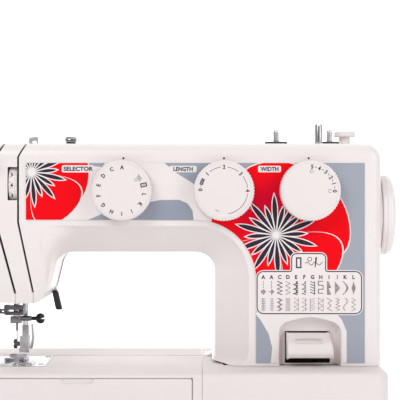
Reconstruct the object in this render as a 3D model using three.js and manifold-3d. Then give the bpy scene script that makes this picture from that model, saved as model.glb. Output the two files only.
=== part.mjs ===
// A domestic free-arm sewing machine: three front dials, a sliding extension table and a rotary hook.
// Millimetres, +Z up, +X towards the handwheel, +Y towards the back. The origin is on the table, under the
// middle of the machine's box. Everything is at rest: needle up, foot down, covers shut, table fitted.
import * as THREE from "three";
import { mergeVertices } from "three/addons/utils/BufferGeometryUtils.js";
import Module from "manifold-3d";

const wasm = await Module();
wasm.setup();

// ------------------------------------------------------------------ driving sizes

const GAP = 0.3; // left between pieces that touch
const WALL = 2.5; // moulded plastic wall

const TABLE_LEFT = -195; // left end of the extension table
const WHEEL_FACE = 195; // outer face of the handwheel
const BED_HALF = 88; // the bed reaches this far in front of and behind the needle
const BED_TOP = 88;
const ARM_TOP = 280;
const BODY_FRONT = -45; // front face of head, arm and pillar
const BODY_BACK = 55;
const HEAD_LEFT = -186;
const BODY_RIGHT = 177;
const SPLIT_Y = 25; // the front and rear covers meet here
const BASE_LEFT = 22; // the fixed base starts here, and the free arm and table end here

const SHAFT_Z = 218; // main shaft, straight above the needle's plane
const LOWER_SHAFT_Z = 53;
const PULLEY_X = 144; // the timing belt's plane
const DRIVE_X = 162; // the motor belt's plane

const NEEDLE_X = -144;
const STROKE = 29; // needle bar travel
const PRESSER_X = -138.5;
const PRESSER_Y = 14;
const HOOK_Y = -20; // the hook turns in front of the needle

const DIAL_Z = 239;
const DIAL_RADIUS = 25.7;
const SELECTOR_X = -46.8;
const LENGTH_X = 40.4;
const WIDTH_X = 114;

// ------------------------------------------------------------------ finishes

function finish(color, roughness, metalness = 0) {
  return new THREE.MeshStandardMaterial({ color, roughness, metalness });
}

const WHITE = finish(0xf3ecec, 0.35);
const DIAL_WHITE = finish(0xf5eeed, 0.45);
const PANEL = finish(0x97a1b4, 0.3);
const BLACK = finish(0x1d191d, 0.4);
const CHROME = finish(0xd8d6da, 0.18, 1);
const STEEL = finish(0xa8a4aa, 0.35, 1);
const ALUMINIUM = finish(0xb4b6b8, 0.5, 1);
const RUBBER = finish(0x2a2a2c, 0.85);
const CLEAR = finish(0xdfe6ea, 0.1);

// ------------------------------------------------------------------ shape helpers

// A closed geometry as a manifold solid, with its faces turned outwards.
function solid(geometry) {
  const bare = geometry.clone();
  for (const name of Object.keys(bare.attributes)) {
    if (name !== "position") bare.deleteAttribute(name);
  }
  const merged = mergeVertices(bare, 1e-4);
  const triVerts = new Uint32Array(merged.index.array);
  const vertProperties = merged.attributes.position.array;
  const made = new wasm.Manifold(new wasm.Mesh({ numProp: 3, vertProperties, triVerts }));
  if (made.volume() > 0) return made;
  for (let i = 0; i < triVerts.length; i += 3) {
    [triVerts[i + 1], triVerts[i + 2]] = [triVerts[i + 2], triVerts[i + 1]];
  }
  return new wasm.Manifold(new wasm.Mesh({ numProp: 3, vertProperties, triVerts }));
}

function join(...shapes) {
  return shapes.reduce((whole, shape) => whole.add(shape));
}

function cut(shape, ...tools) {
  return tools.reduce((left, tool) => left.subtract(tool), shape);
}

function box([x0, x1], [y0, y1], [z0, z1]) {
  const geometry = new THREE.BoxGeometry(x1 - x0, y1 - y0, z1 - z0);
  return solid(geometry.translate((x0 + x1) / 2, (y0 + y1) / 2, (z0 + z1) / 2));
}

// Turns a geometry built along its own +Y so that it runs along the named axis.
function along(geometry, axis) {
  if (axis === "X") geometry.rotateZ(-Math.PI / 2);
  if (axis === "Z") geometry.rotateX(Math.PI / 2);
  return geometry;
}

// A cylinder along an axis from one place to another, centred at x, y, z on the other two axes.
function rod(axis, radius, [from, to], [x, y, z], sides = 20) {
  const geometry = along(new THREE.CylinderGeometry(radius, radius, to - from, sides), axis);
  const middle = (from + to) / 2;
  const centre = { X: [middle, y, z], Y: [x, middle, z], Z: [x, y, middle] }[axis];
  return solid(geometry.translate(...centre));
}

// A turned piece: profile holds [radius, place along the axis] pairs and ends on the axis or on itself.
function turned(axis, profile, [x, y, z], sides = 32) {
  const points = profile.map(([radius, place]) => new THREE.Vector2(radius, place));
  return solid(along(new THREE.LatheGeometry(points, sides), axis).translate(x, y, z));
}

// A prism of an outline. Outlines are [y, z] along X, [x, z] along Y and [x, y] along Z.
function prism(axis, outline, [from, to], hole = null) {
  const shape = new THREE.Shape(outline.map(([u, v]) => new THREE.Vector2(u, v)));
  if (hole) shape.holes.push(new THREE.Path(hole.map(([u, v]) => new THREE.Vector2(u, v))));
  const geometry = new THREE.ExtrudeGeometry(shape, { depth: to - from, bevelEnabled: false });
  const x = new THREE.Vector3(1, 0, 0);
  const y = new THREE.Vector3(0, 1, 0);
  const z = new THREE.Vector3(0, 0, 1);
  const turn = new THREE.Matrix4();
  if (axis === "X") turn.makeBasis(y, z, x).setPosition(from, 0, 0);
  if (axis === "Y") turn.makeBasis(x, z, y.negate()).setPosition(0, to, 0);
  if (axis === "Z") turn.setPosition(0, 0, from);
  return solid(geometry.applyMatrix4(turn));
}

// Corners are [u, v, radius]. Gives the outline with each corner turned into an arc of the given steps.
function rounded(corners, steps = 4) {
  const outline = [];
  corners.forEach(([u, v, radius], i) => {
    if (!radius) {
      outline.push([u, v]);
      return;
    }
    const corner = new THREE.Vector2(u, v);
    const before = corners[(i + corners.length - 1) % corners.length];
    const after = corners[(i + 1) % corners.length];
    const back = new THREE.Vector2(before[0], before[1]).sub(corner).normalize();
    const ahead = new THREE.Vector2(after[0], after[1]).sub(corner).normalize();
    const half = Math.acos(THREE.MathUtils.clamp(back.dot(ahead), -1, 1)) / 2;
    const middle = back.clone().add(ahead).normalize().multiplyScalar(radius / Math.sin(half));
    const centre = corner.clone().add(middle);
    const start = corner.clone().addScaledVector(back, radius / Math.tan(half)).sub(centre);
    const sweep = (Math.PI - 2 * half) * Math.sign(back.cross(ahead)) * -1;
    for (let k = 0; k <= steps; k++) {
      const point = start.clone().rotateAround(new THREE.Vector2(), (sweep * k) / steps).add(centre);
      outline.push([point.x, point.y]);
    }
  });
  return outline;
}

function roundedRectangle([u0, u1], [v0, v1], radius, steps = 4) {
  return rounded([[u0, v0, radius], [u1, v0, radius], [u1, v1, radius], [u0, v1, radius]], steps);
}

// Moves every side of a counter-clockwise corner list inwards.
function inset(corners, distance) {
  const lines = corners.map(([u, v], i) => {
    const next = corners[(i + 1) % corners.length];
    const direction = new THREE.Vector2(next[0] - u, next[1] - v).normalize();
    const normal = new THREE.Vector2(-direction.y, direction.x);
    return { point: new THREE.Vector2(u, v).addScaledVector(normal, distance), direction };
  });
  return corners.map(([, , radius], i) => {
    const a = lines[(i + lines.length - 1) % lines.length];
    const b = lines[i];
    const turn = a.direction.cross(b.direction);
    const reach = b.point.clone().sub(a.point).cross(b.direction) / turn;
    const met = a.point.clone().addScaledVector(a.direction, reach);
    const next = turn > 0 ? Math.max(radius - distance, 1) : radius + distance;
    return [met.x, met.y, radius ? next : 0];
  });
}

// Skins a stack of equal-length [x, z] outlines, one at each y.
function loft(rings) {
  const count = rings[0].outline.length;
  const positions = rings.flatMap(({ y, outline }) => outline.flatMap(([x, z]) => [x, y, z]));
  const index = [];
  for (let r = 0; r + 1 < rings.length; r++) {
    for (let i = 0; i < count; i++) {
      const j = (i + 1) % count;
      const [a, b] = [r * count + i, r * count + j];
      index.push(a, b, b + count, a, b + count, a + count);
    }
  }
  const last = (rings.length - 1) * count;
  [0, last].forEach((base) => {
    const outline = rings[base / count].outline.map(([x, z]) => new THREE.Vector2(x, z));
    for (const [a, b, c] of THREE.ShapeUtils.triangulateShape(outline, [])) {
      if (base) index.push(base + a, base + b, base + c);
      else index.push(a, c, b);
    }
  });
  const geometry = new THREE.BufferGeometry();
  geometry.setAttribute("position", new THREE.Float32BufferAttribute(positions, 3));
  return solid(geometry.setIndex(index));
}

function gearOutline(teeth, root, tip) {
  const step = (2 * Math.PI) / teeth;
  const flanks = [[0, root], [0.3, root], [0.42, tip], [0.68, tip], [0.8, root]];
  return Array.from({ length: teeth }, (_, tooth) =>
    flanks.slice(1).map(([share, radius]) => {
      const angle = (tooth + share) * step;
      return [radius * Math.cos(angle), radius * Math.sin(angle)];
    }),
  ).flat();
}

const machine = new THREE.Group();

// A sub-assembly's own frame, placed on the machine.
function assembly(x = 0, y = 0, z = 0) {
  const group = new THREE.Group();
  group.position.set(x, y, z);
  machine.add(group);
  return group;
}

function part(name, shape, material, group = machine) {
  const { vertProperties, triVerts } = shape.getMesh();
  const geometry = new THREE.BufferGeometry();
  geometry.setAttribute("position", new THREE.BufferAttribute(vertProperties, 3));
  geometry.setIndex(new THREE.BufferAttribute(triVerts, 1));
  geometry.computeVertexNormals();
  const mesh = new THREE.Mesh(geometry, material);
  mesh.name = name;
  group.add(mesh);
  return mesh;
}

// ------------------------------------------------------------------ upper body: head, arm and pillar

// Corners [x, z, radius] of the body's full section, and of its smaller front face. They match one to one.
const PILLAR_FOOT = BED_TOP + GAP;
const SECTION = [
  [BODY_RIGHT, PILLAR_FOOT, 0],
  [BODY_RIGHT, ARM_TOP, 14],
  [HEAD_LEFT, ARM_TOP, 12],
  [HEAD_LEFT, 142.5, 8],
  [-121, 140.8, 8],
  [-112, 152, 8],
  [-104, 185.4, 15],
  [33.3, 185.4, 17.5],
  [33.3, PILLAR_FOOT, 0],
];
const FACE = [
  [168, PILLAR_FOOT, 0],
  [168, 268, 6],
  [-176, 268, 6],
  [-176, 147, 6],
  [-117, 144, 4],
  [-114, 152, 4],
  [-107, 208.6, 36],
  [62, 208.6, 44],
  [62, PILLAR_FOOT, 0],
];
const THROAT_CORNERS = [5, 6, 7, 8];
const CREASE_Z = 208.6; // below this the head's front leans back, and the throat's edge is bevelled
const CREASE = { 3: CREASE_Z - 1, 4: CREASE_Z - 1.2, 5: CREASE_Z - 0.6 }; // z of these corners at the face

// The body's corners part of the way from the front face to the full section. The head's lower
// corners start at the crease and come down to their places as lean grows from 0 to 1.
function bodyCorners(outerShare, throatShare, lean = 1) {
  return FACE.map((corner, i) => {
    const share = THROAT_CORNERS.includes(i) ? throatShare : outerShare;
    const [x, z, r] = corner.map((value, k) => THREE.MathUtils.lerp(value, SECTION[i][k], share));
    return [x, THREE.MathUtils.lerp(CREASE[i] ?? z, z, lean), r];
  });
}

// [y, corners] stations from front to back: the outer edge is rounded, the throat edge is a wide bevel.
const STATIONS = [
  [BODY_FRONT, bodyCorners(0, 0, 0)],
  [BODY_FRONT + 1.6, bodyCorners(0.5, 0.05, 0.2)],
  [BODY_FRONT + 6, bodyCorners(0.866, 0.25, 0.75)],
  [BODY_FRONT + 8, bodyCorners(0.943, 0.34)],
  [BODY_FRONT + 12, bodyCorners(1, 0.52)],
  [BODY_FRONT + 23, bodyCorners(1, 1)],
  [BODY_BACK - 12, bodyCorners(1, 1)],
  [BODY_BACK - 3.5, inset(bodyCorners(1, 1), 3.5)],
  [BODY_BACK, inset(bodyCorners(1, 1), 11)],
];

function bodySolid(wall) {
  const rings = STATIONS.map(([y, corners]) => {
    const inward = y < 0 ? Math.min(wall, 0.2 * (y - BODY_FRONT) + wall) : -wall;
    const shrunk = wall ? inset(corners, wall) : corners;
    const foot = wall ? BED_TOP - 10 : PILLAR_FOOT;
    const open = shrunk.map(([x, z, r], i) => (i === 0 || i === 8 ? [x, foot, r] : [x, z, r]));
    return { y: y + inward, outline: rounded(open) };
  });
  return loft(rings);
}

const shell = cut(bodySolid(0), bodySolid(WALL));

// Two thread grooves run down the head's front. Each is a [x, z] centre line from top to bottom.
const TENSION_GROOVE = [[-129.5, 281], [-136.5, 268], [-136.5, 212], [-124.5, 151]];
const LEVER_GROOVE = [[-148.5, 281], [-155.5, 268], [-155.5, 212], [-140, 150.2]];
const TENSION_HALF = 0.85;
const LEVER_HALF = 1;

// One edge of a groove, from above the body to below it. Under the groove's end only a seam is left.
function grooveEdge(line, side, halfWidth) {
  const [top] = line;
  const end = line[line.length - 1];
  return [
    [top[0] + side * halfWidth, ARM_TOP + 20],
    ...line.map(([x, z]) => [x + side * halfWidth, z]),
    [end[0] + (side * GAP) / 2, end[1]],
    [end[0] + (side * GAP) / 2, 120],
  ];
}

// The shell between two [x, z] edges, in front of the split or behind it.
function shellPiece(leftEdge, rightEdge, range) {
  return shell.intersect(prism("Y", [...leftEdge, ...[...rightEdge].reverse()], range));
}

const FRONT_RANGE = [BODY_FRONT - 10, SPLIT_Y - GAP / 2];
const REAR_RANGE = [SPLIT_Y + GAP / 2, BODY_BACK + 10];
const FAR_LEFT = [[HEAD_LEFT - 20, ARM_TOP + 20], [HEAD_LEFT - 20, 60]];
const FAR_RIGHT = [[BODY_RIGHT + 20, ARM_TOP + 20], [BODY_RIGHT + 20, 60]];
const needleOpening = box([-168, -128], [-16, 39], [100, 156]);

// Reverse lever pocket in the pillar's front: an arched recess with a window for the lever in its floor.
const POCKET_FLOOR = -35.5;
const pocketArch = rounded([
  [88.6, 84, 0], [140.5, 84, 0], [140.5, 123.5, 9], [114.6, 130.6, 40], [88.6, 123.5, 9],
]);
const pocketBlock = box([85, 144], [BODY_FRONT + 1, POCKET_FLOOR + WALL], [PILLAR_FOOT, 136]);
const pocket = prism("Y", pocketArch, [BODY_FRONT - 5, POCKET_FLOOR]);
const leverWindow = box([93.6, 132.6], [POCKET_FLOOR - 1, POCKET_FLOOR + 6], [89.6, 117.4]);

const dialHoles = [SELECTOR_X, LENGTH_X, WIDTH_X].map((x) =>
  rod("Y", 5, [BODY_FRONT - 2, BODY_FRONT + 6], [x, 0, DIAL_Z], 16),
);
const wheelHole = rod("X", 8, [BODY_RIGHT - 6, BODY_RIGHT + 4], [0, 0, SHAFT_Z]);
const winderSlot = box([121, 137], [-4.5, 4.5], [ARM_TOP - 6, ARM_TOP + 4]);

part(
  "front_cover",
  cut(
    join(shellPiece(grooveEdge(TENSION_GROOVE, 1, TENSION_HALF), FAR_RIGHT, FRONT_RANGE), pocketBlock),
    needleOpening, pocket, leverWindow, wheelHole, winderSlot, ...dialHoles,
  ),
  WHITE,
);

// The strip between the grooves holds the tension wheel's window.
const tensionWindow = box([-145.4, -134], [BODY_FRONT - 2, BODY_FRONT + 8], [230.5, 260]);
part(
  "thread_channel_cover",
  cut(
    shellPiece(
      grooveEdge(LEVER_GROOVE, 1, LEVER_HALF),
      grooveEdge(TENSION_GROOVE, -1, TENSION_HALF),
      FRONT_RANGE,
    ),
    needleOpening, tensionWindow,
  ),
  WHITE,
);

const faceCoverShell = shellPiece(FAR_LEFT, grooveEdge(LEVER_GROOVE, -1, LEVER_HALF), FRONT_RANGE);
part("face_cover", cut(faceCoverShell, needleOpening), WHITE);

// Rear cover: bosses for the carrying handle, spool pin holes and the presser lever's slot.
const HANDLE_Y = 62;
const HANDLE_Z = 258;
const HANDLE_X = [-50, 90];
const SPOOL_Y = 36;
const SPOOL_X = [90.4, 139.7];
const handleBosses = HANDLE_X.map((x, i) => {
  const inner = i ? x - 14 : x + 6;
  const boss = box([inner, inner + 8], [BODY_BACK - 6, HANDLE_Y + 6], [HANDLE_Z - 8, HANDLE_Z + 8]);
  return cut(boss, rod("X", 3.6, [inner - 1, inner + 9], [0, HANDLE_Y, HANDLE_Z], 16));
});
const spoolHoles = SPOOL_X.map((x) => rod("Z", 3, [ARM_TOP - 6, ARM_TOP + 4], [x, SPOOL_Y, 0], 16));
const leverSlot = box([-122, -90], [29, 41], [138, 179]);
part(
  "rear_cover",
  cut(
    join(shellPiece(FAR_LEFT, FAR_RIGHT, REAR_RANGE), ...handleBosses),
    needleOpening, leverSlot, ...spoolHoles,
  ),
  WHITE,
);

// Printed trim on the front: along the arm and down the pillar, turned round the throat's corner.
const PANEL_BACK = BODY_FRONT - GAP;
const panelOutline = rounded(
  [
    [68.2, 91, 0], [161.5, 91, 0], [161.5, 262.8, 0], [-129.6, 262.8, 0], [-129.6, 214, 0],
    [68.2, 214, 51.6],
  ],
  8,
);
const panelArch = rounded([
  [87.6, 80, 0], [141.5, 80, 0], [141.5, 124.5, 10], [114.6, 131.8, 40], [87.6, 124.5, 10],
]);
const panelHoles = [SELECTOR_X, LENGTH_X, WIDTH_X].map((x) =>
  rod("Y", 5, [PANEL_BACK - 2, PANEL_BACK + 1], [x, 0, DIAL_Z], 16),
);
part(
  "decor_panel",
  cut(
    prism("Y", panelOutline, [PANEL_BACK - 0.6, PANEL_BACK]),
    prism("Y", panelArch, [PANEL_BACK - 2, PANEL_BACK + 1]),
    ...panelHoles,
  ),
  PANEL,
);

// ------------------------------------------------------------------ base, free arm and bed

const baseOuter = prism(
  "Z",
  rounded([
    [BASE_LEFT, -BED_HALF, 0], [BODY_RIGHT, -BED_HALF, 14], [BODY_RIGHT, BED_HALF, 14],
    [BASE_LEFT, BED_HALF, 0],
  ]),
  [7, BED_TOP],
);
const baseInner = box(
  [BASE_LEFT - 1, BODY_RIGHT - WALL], [-BED_HALF + WALL, BED_HALF - WALL], [0, BED_TOP - WALL],
);
const innerRounds = prism(
  "Z",
  roundedRectangle([BASE_LEFT - 20, BODY_RIGHT - WALL], [-BED_HALF + WALL, BED_HALF - WALL], 12),
  [0, BED_TOP - WALL],
);
const pillarWell = box([40, BODY_RIGHT - 8], [BODY_FRONT + 8, BODY_BACK - 1], [BED_TOP - 5, BED_TOP + 1]);
const inletHole = box([BODY_RIGHT - 6, BODY_RIGHT + 2], [-18, 14], [26, 50]);
const switchHole = box([BODY_RIGHT - 6, BODY_RIGHT + 2], [-50, -28], [28, 48]);
part(
  "base_cover",
  cut(baseOuter, baseInner.intersect(innerRounds), pillarWell, inletHole, switchHole),
  WHITE,
);

const ARM_Y = [-46, 30]; // free arm, front and back
const ARM_Z = [34, BED_TOP];
const ARM_LEFT = -184;
const freeArmSection = roundedRectangle(ARM_Y, ARM_Z, 6, 3);
const freeArmHollow = box(
  [ARM_LEFT + WALL, BASE_LEFT + 2], [ARM_Y[0] + WALL, ARM_Y[1] - WALL], [ARM_Z[0] + WALL, BED_TOP - WALL],
);
const PLATE_X = [-174, -114];
const PLATE_Y = [-44, 27];
const plateSeat = box([PLATE_X[0] - GAP, PLATE_X[1] + GAP], [PLATE_Y[0] - GAP, PLATE_Y[1] + GAP], [84, 90]);
part(
  "free_arm_cover",
  cut(prism("X", freeArmSection, [ARM_LEFT, BASE_LEFT - GAP]), freeArmHollow, plateSeat),
  WHITE,
);

const trayOutline = rounded([
  [-180, -40, 8], [BASE_LEFT + 3, -40, 0], [BASE_LEFT + 3, -84, 0], [172, -84, 10], [172, 84, 10],
  [BASE_LEFT + 3, 84, 0], [BASE_LEFT + 3, 26, 0], [-180, 26, 8],
]);
const TRAY_Z = [4, 7 - GAP];
part("base_tray", prism("Z", trayOutline, TRAY_Z), WHITE);

const FEET = {
  front_left: [-166, -26],
  rear_left: [-166, 12],
  front_right: [156, -68],
  rear_right: [156, 68],
};
for (const [corner, [x, y]] of Object.entries(FEET)) {
  const sole = [[0, 0], [8, 0], [9, 1], [9, TRAY_Z[0] - GAP], [0, TRAY_Z[0] - GAP]];
  part(`rubber_foot_${corner}`, turned("Z", sole, [0, 0, 0], 20), RUBBER, assembly(x, y, 0));
}

// Needle plate with the needle slot, three feed slots and the window over the bobbin.
const WINDOW_X = [-163, -125];
const WINDOW_Y = [-42, -16];
// [x, front, back] of each tooth row
const FEED_ROWS = [[-150.5, -9, 11], [-138.5, -9, 11], [-144.5, 6.5, 11]];
const needleSlot = box([NEEDLE_X - 4.5, NEEDLE_X + 4.5], [-1.2, 1.2], [80, 90]);
const feedSlots = FEED_ROWS.map(([x, y0, y1]) => box([x - 1.9, x + 1.9], [y0 - 2.4, y1 + 2.4], [80, 90]));
part(
  "needle_plate",
  cut(
    box(PLATE_X, PLATE_Y, [BED_TOP - 1.5, BED_TOP]),
    box(WINDOW_X, WINDOW_Y, [80, 90]), needleSlot, ...feedSlots,
  ),
  STEEL,
);
part(
  "bobbin_cover_plate",
  prism(
    "Z",
    roundedRectangle([WINDOW_X[0] + GAP, WINDOW_X[1] - GAP], [WINDOW_Y[0] + GAP, WINDOW_Y[1] - GAP], 2, 2),
    [BED_TOP - 1.8, BED_TOP],
  ),
  CLEAR,
);

// Extension table: a storage tray that wraps round the free arm and slides off to the left.
const TABLE_RIGHT = BASE_LEFT - GAP;
const TABLE_FLOOR = 10;
const CLEARANCE = 0.6; // between the table and the free arm it slides on
const tableOuter = rounded([
  [TABLE_LEFT, -BED_HALF, 16], [TABLE_RIGHT, -BED_HALF, 0],
  [TABLE_RIGHT, ARM_Y[0] - CLEARANCE, 0], [ARM_LEFT - CLEARANCE, ARM_Y[0] - CLEARANCE, 0],
  [ARM_LEFT - CLEARANCE, ARM_Y[1] + CLEARANCE, 0], [TABLE_RIGHT, ARM_Y[1] + CLEARANCE, 0],
  [TABLE_RIGHT, BED_HALF, 0], [TABLE_LEFT, BED_HALF, 16],
]);
const storage = box([-176, 14], [-BED_HALF - 1, ARM_Y[0] - 4], [TABLE_FLOOR + 8, BED_TOP - 4]);
const rearHollow = box([-176, 14], [ARM_Y[1] + 4, BED_HALF - 3], [TABLE_FLOOR - 1, BED_TOP - 3]);
part(
  "extension_table",
  cut(prism("Z", tableOuter, [TABLE_FLOOR, BED_TOP]), storage, rearHollow),
  WHITE,
);
part(
  "storage_door",
  box([-175.5, 13.5], [-BED_HALF, -BED_HALF + 2.4], [TABLE_FLOOR + 8.4, BED_TOP - 4.5]),
  WHITE,
);

// ------------------------------------------------------------------ cast frame and drive

const FRAME_Y = [20, 31];
const SHAFT_RADIUS = 5;
const BEARING_X = [-118, 126]; // middle of each main shaft bearing
const mainLugs = BEARING_X.map((x) => box([x - 6, x + 6], [-9, FRAME_Y[1]], [SHAFT_Z - 9, 250]));
const lowerLugs = [-112, 51].map((x) =>
  box([x - 6, x + 6], [-8, 24], [LOWER_SHAFT_Z - 8, LOWER_SHAFT_Z + 8]),
);
const boreOf = (z) => rod("X", SHAFT_RADIUS + 0.4, [-200, 190], [0, 0, z]);
const chassis = cut(
  join(
    box([-158, 132], FRAME_Y, [236, 250]), // arm beam
    box([-160, -124], [21.5, 26], [158, 260]), // head plate
    box([42, 62], FRAME_Y, [12, 245]), // pillar column
    box([-172, 62], [18, 25], [44, 62]), // free arm beam
    box([30, 150], [-40, 60], [8, 13]), // floor
    ...mainLugs, ...lowerLugs,
  ),
  boreOf(SHAFT_Z), boreOf(LOWER_SHAFT_Z),
  rod("Y", 3.4, [15, 30], [NEEDLE_X, 0, 254], 16),
);
part("chassis", chassis, ALUMINIUM);

const shaftLine = assembly(0, 0, SHAFT_Z);
const CRANK_X = [-134, -128];
part("main_shaft", rod("X", SHAFT_RADIUS, [CRANK_X[1] + GAP, 178.5], [0, 0, 0]), STEEL, shaftLine);
const crankDisc = prism("X", rounded([[-9, 20, 8], [-17, -18, 10], [17, -18, 10], [9, 20, 8]]), CRANK_X);
const crankPin = rod("X", 3, [CRANK_X[0] - 0.8, CRANK_X[0] + 1], [0, 0, STROKE / 2], 16);
part("crank_counterweight", join(crankDisc, crankPin), STEEL, shaftLine);

function pulleyProfile(middle, radius, bore, half) {
  const [a, b] = [middle - half, middle + half];
  const rim = radius + 2.2;
  return [
    [bore, a], [rim, a], [rim, a + 1], [radius, a + 1.2], [radius, b - 1.2], [rim, b - 1], [rim, b],
    [bore, b], [bore, a],
  ];
}
const BORE = SHAFT_RADIUS + GAP;
const upperGroove = turned("X", pulleyProfile(PULLEY_X, 12, BORE, 6), [0, 0, 0], 20);
const driveGroove = turned("X", pulleyProfile(DRIVE_X, 26, BORE, 5), [0, 0, 0], 30);
const pulleyHub = turned(
  "X",
  [[BORE, PULLEY_X + 4], [9, PULLEY_X + 4], [9, DRIVE_X - 3], [BORE, DRIVE_X - 3], [BORE, PULLEY_X + 4]],
  [0, 0, 0], 20,
);
part("double_pulley", join(upperGroove, pulleyHub, driveGroove), BLACK, shaftLine);

// Handwheel: a flange against the body, then a domed disc.
const wheelProfile = [
  [0, 179.2], [34, 179.2], [35.8, 180.5], [35.8, 183.5], [34.6, 184.3], [35.2, 185.4], [34, 188.6],
  [31, 191.8], [26.5, 194.2], [21, WHEEL_FACE], [0, WHEEL_FACE],
];
part("handwheel", turned("X", wheelProfile, [0, 0, 0], 36), WHITE, shaftLine);

const lowerLine = assembly(0, 0, LOWER_SHAFT_Z);
const lowerRod = rod("X", SHAFT_RADIUS, [-160, 152], [0, 0, 0]);
const lowerPulley = turned("X", pulleyProfile(PULLEY_X, 12, 3, 6), [0, 0, 0], 20);
const hookGear = prism("X", gearOutline(18, 9.2, 11.8), [NEEDLE_X - 5, NEEDLE_X + 5]);
part("lower_shaft", join(lowerRod, lowerPulley, hookGear), STEEL, lowerLine);

// A belt round two pulleys in a plane across X: [y, z, radius] each, the first one the upper.
function belt(x, width, upper, lower, thickness) {
  const outline = (grow) => {
    const [yu, zu, ru] = upper;
    const [yl, zl, rl] = lower;
    const run = Math.hypot(yu - yl, zu - zl);
    const heading = Math.atan2(zu - zl, yu - yl);
    const lean = Math.acos((ru - rl) / run);
    const arc = (cy, cz, r, from, to) =>
      Array.from({ length: 13 }, (_, k) => {
        const angle = from + ((to - from) * k) / 12;
        return [cy + (r + grow) * Math.cos(angle), cz + (r + grow) * Math.sin(angle)];
      });
    return [
      ...arc(yu, zu, ru, heading - (Math.PI - lean), heading + (Math.PI - lean)),
      ...arc(yl, zl, rl, heading + (Math.PI - lean), heading + Math.PI + lean),
    ];
  };
  return prism("X", outline(thickness), [x - width / 2, x + width / 2], outline(0));
}
const BELT_SLACK = 0.7;
part(
  "timing_belt",
  belt(PULLEY_X, 8.6, [0, SHAFT_Z, 12 + BELT_SLACK], [0, LOWER_SHAFT_Z, 12 + BELT_SLACK], 1.6),
  RUBBER,
);
const MOTOR_Y = 48;
const MOTOR_Z = 46;
part(
  "motor_belt",
  belt(DRIVE_X, 6.6, [0, SHAFT_Z, 26 + BELT_SLACK], [MOTOR_Y, MOTOR_Z, 7 + BELT_SLACK], 1.8),
  RUBBER,
);
const motorLine = assembly(0, MOTOR_Y, MOTOR_Z);
const motorCan = rod("X", 22, [86, 150], [0, 0, 0], 28);
const motorFoot = box([92, 144], [-14, 10], [-(MOTOR_Z - 13 - GAP), -12]);
const motorNose = rod("X", 6, [150, 153], [0, 0, 0], 16);
part("drive_motor", join(motorCan, motorFoot, motorNose), BLACK, motorLine);
part(
  "motor_pulley",
  turned(
    "X",
    [[0, 153.4], [9.2, 155], [9.2, 156.2], [7, 157.6], [7, 166.4], [9.2, 167], [9.2, 168], [0, 168]],
    [0, 0, 0], 20,
  ),
  STEEL, motorLine,
);

// ------------------------------------------------------------------ rotary hook and feed

const hookLine = assembly(NEEDLE_X, HOOK_Y, 0);
const hookProfile = [
  [0, 42], [3, 42], [3, 45], [7.7, 45], [7.7, 60.5], [4, 61.5], [4, 63], [18.3, 65.4], [18.3, 78.5],
  [16.6, 78.5], [16.6, 66.8], [0, 66.8],
];
part("rotary_hook", turned("Z", hookProfile, [0, 0, 0], 28), STEEL, hookLine);
const caseProfile = [[0, 67.4], [15.8, 67.4], [15.8, 79.7], [14.3, 79.7], [14.3, 68.6], [0, 68.6]];
part("bobbin_case", turned("Z", caseProfile, [0, 0, 0], 28), BLACK, hookLine);
const bobbinProfile = [
  [3, 68.9], [10.2, 68.9], [10.2, 69.9], [4, 70.1], [4, 78.5], [10.2, 78.7], [10.2, 79.7], [3, 79.7],
  [3, 68.9],
];
part("bobbin", turned("Z", bobbinProfile, [0, 0, 0], 24), CLEAR, hookLine);

// The feed bar runs fore and aft, and the feed dog drops in it. Both clear the needle.
const FEED_BAR_Z = [76.8, 79.8];
part(
  "feed_bar",
  cut(box([-156, -133], [0.6, 22], FEED_BAR_Z), box([NEEDLE_X - 6, NEEDLE_X + 6], [-2, 4], [70, 90])),
  ALUMINIUM,
);
const TEETH_TOP = BED_TOP - 0.2;
function toothRow([x, y0, y1]) {
  const pitch = 1.25;
  const count = Math.floor((y1 - y0) / pitch);
  const saw = Array.from({ length: count }, (_, k) => [
    [y1 - k * pitch, TEETH_TOP - 0.9], [y1 - k * pitch - 0.35, TEETH_TOP],
  ]).flat();
  return prism("X", [[y0, 83.5], [y1, 83.5], ...saw, [y0, TEETH_TOP - 0.9]], [x - 0.9, x + 0.9]);
}
const feedPlate = box([-153, -136], [-9, 12], [83, 84.2]);
const feedSlot = box([NEEDLE_X - 4.5, NEEDLE_X + 4.5], [-3, 3], [80, 86]);
part("feed_dog", join(cut(feedPlate, feedSlot), ...FEED_ROWS.map(toothRow)), STEEL);

// ------------------------------------------------------------------ needle bar and thread take-up

// The needle bar frame hangs from a pin in the head plate and swings sideways for a zigzag.
const needleLine = assembly(NEEDLE_X, 0, 0);
const BAR_RADIUS = 3.2;
const frameLugs = [[144.5, 150.5], [206, 212]].map((z) =>
  cut(box([-5.2, 5.2], [-5.2, 9], z), rod("Z", BAR_RADIUS + 0.15, [140, 220], [0, 0, 0], 16)),
);
part(
  "needle_bar_frame",
  join(
    box([-7, 4.5], [6, 9], [144.5, 262]), ...frameLugs,
    rod("Y", 3, [8, 22], [0, 0, 254], 16),
  ),
  ALUMINIUM, needleLine,
);
part("needle_bar", rod("Z", BAR_RADIUS, [121.3, 246], [0, 0, 0], 16), CHROME, needleLine);
const clampBand = cut(
  box([-5.4, 5.4], [-5, 5], [184.4, 191.6]),
  rod("Z", BAR_RADIUS + GAP, [180, 200], [0, 0, 0], 16),
);
const linkPlate = prism("X", roundedRectangle([-5, 5], [183, 237], 4.8, 4), [5.7, 7.9]);
const linkStud = rod("X", 2.4, [5.2, 7], [0, 0, 188], 12);
part("needle_bar_link", join(clampBand, linkPlate, linkStud), STEEL, needleLine);

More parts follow.
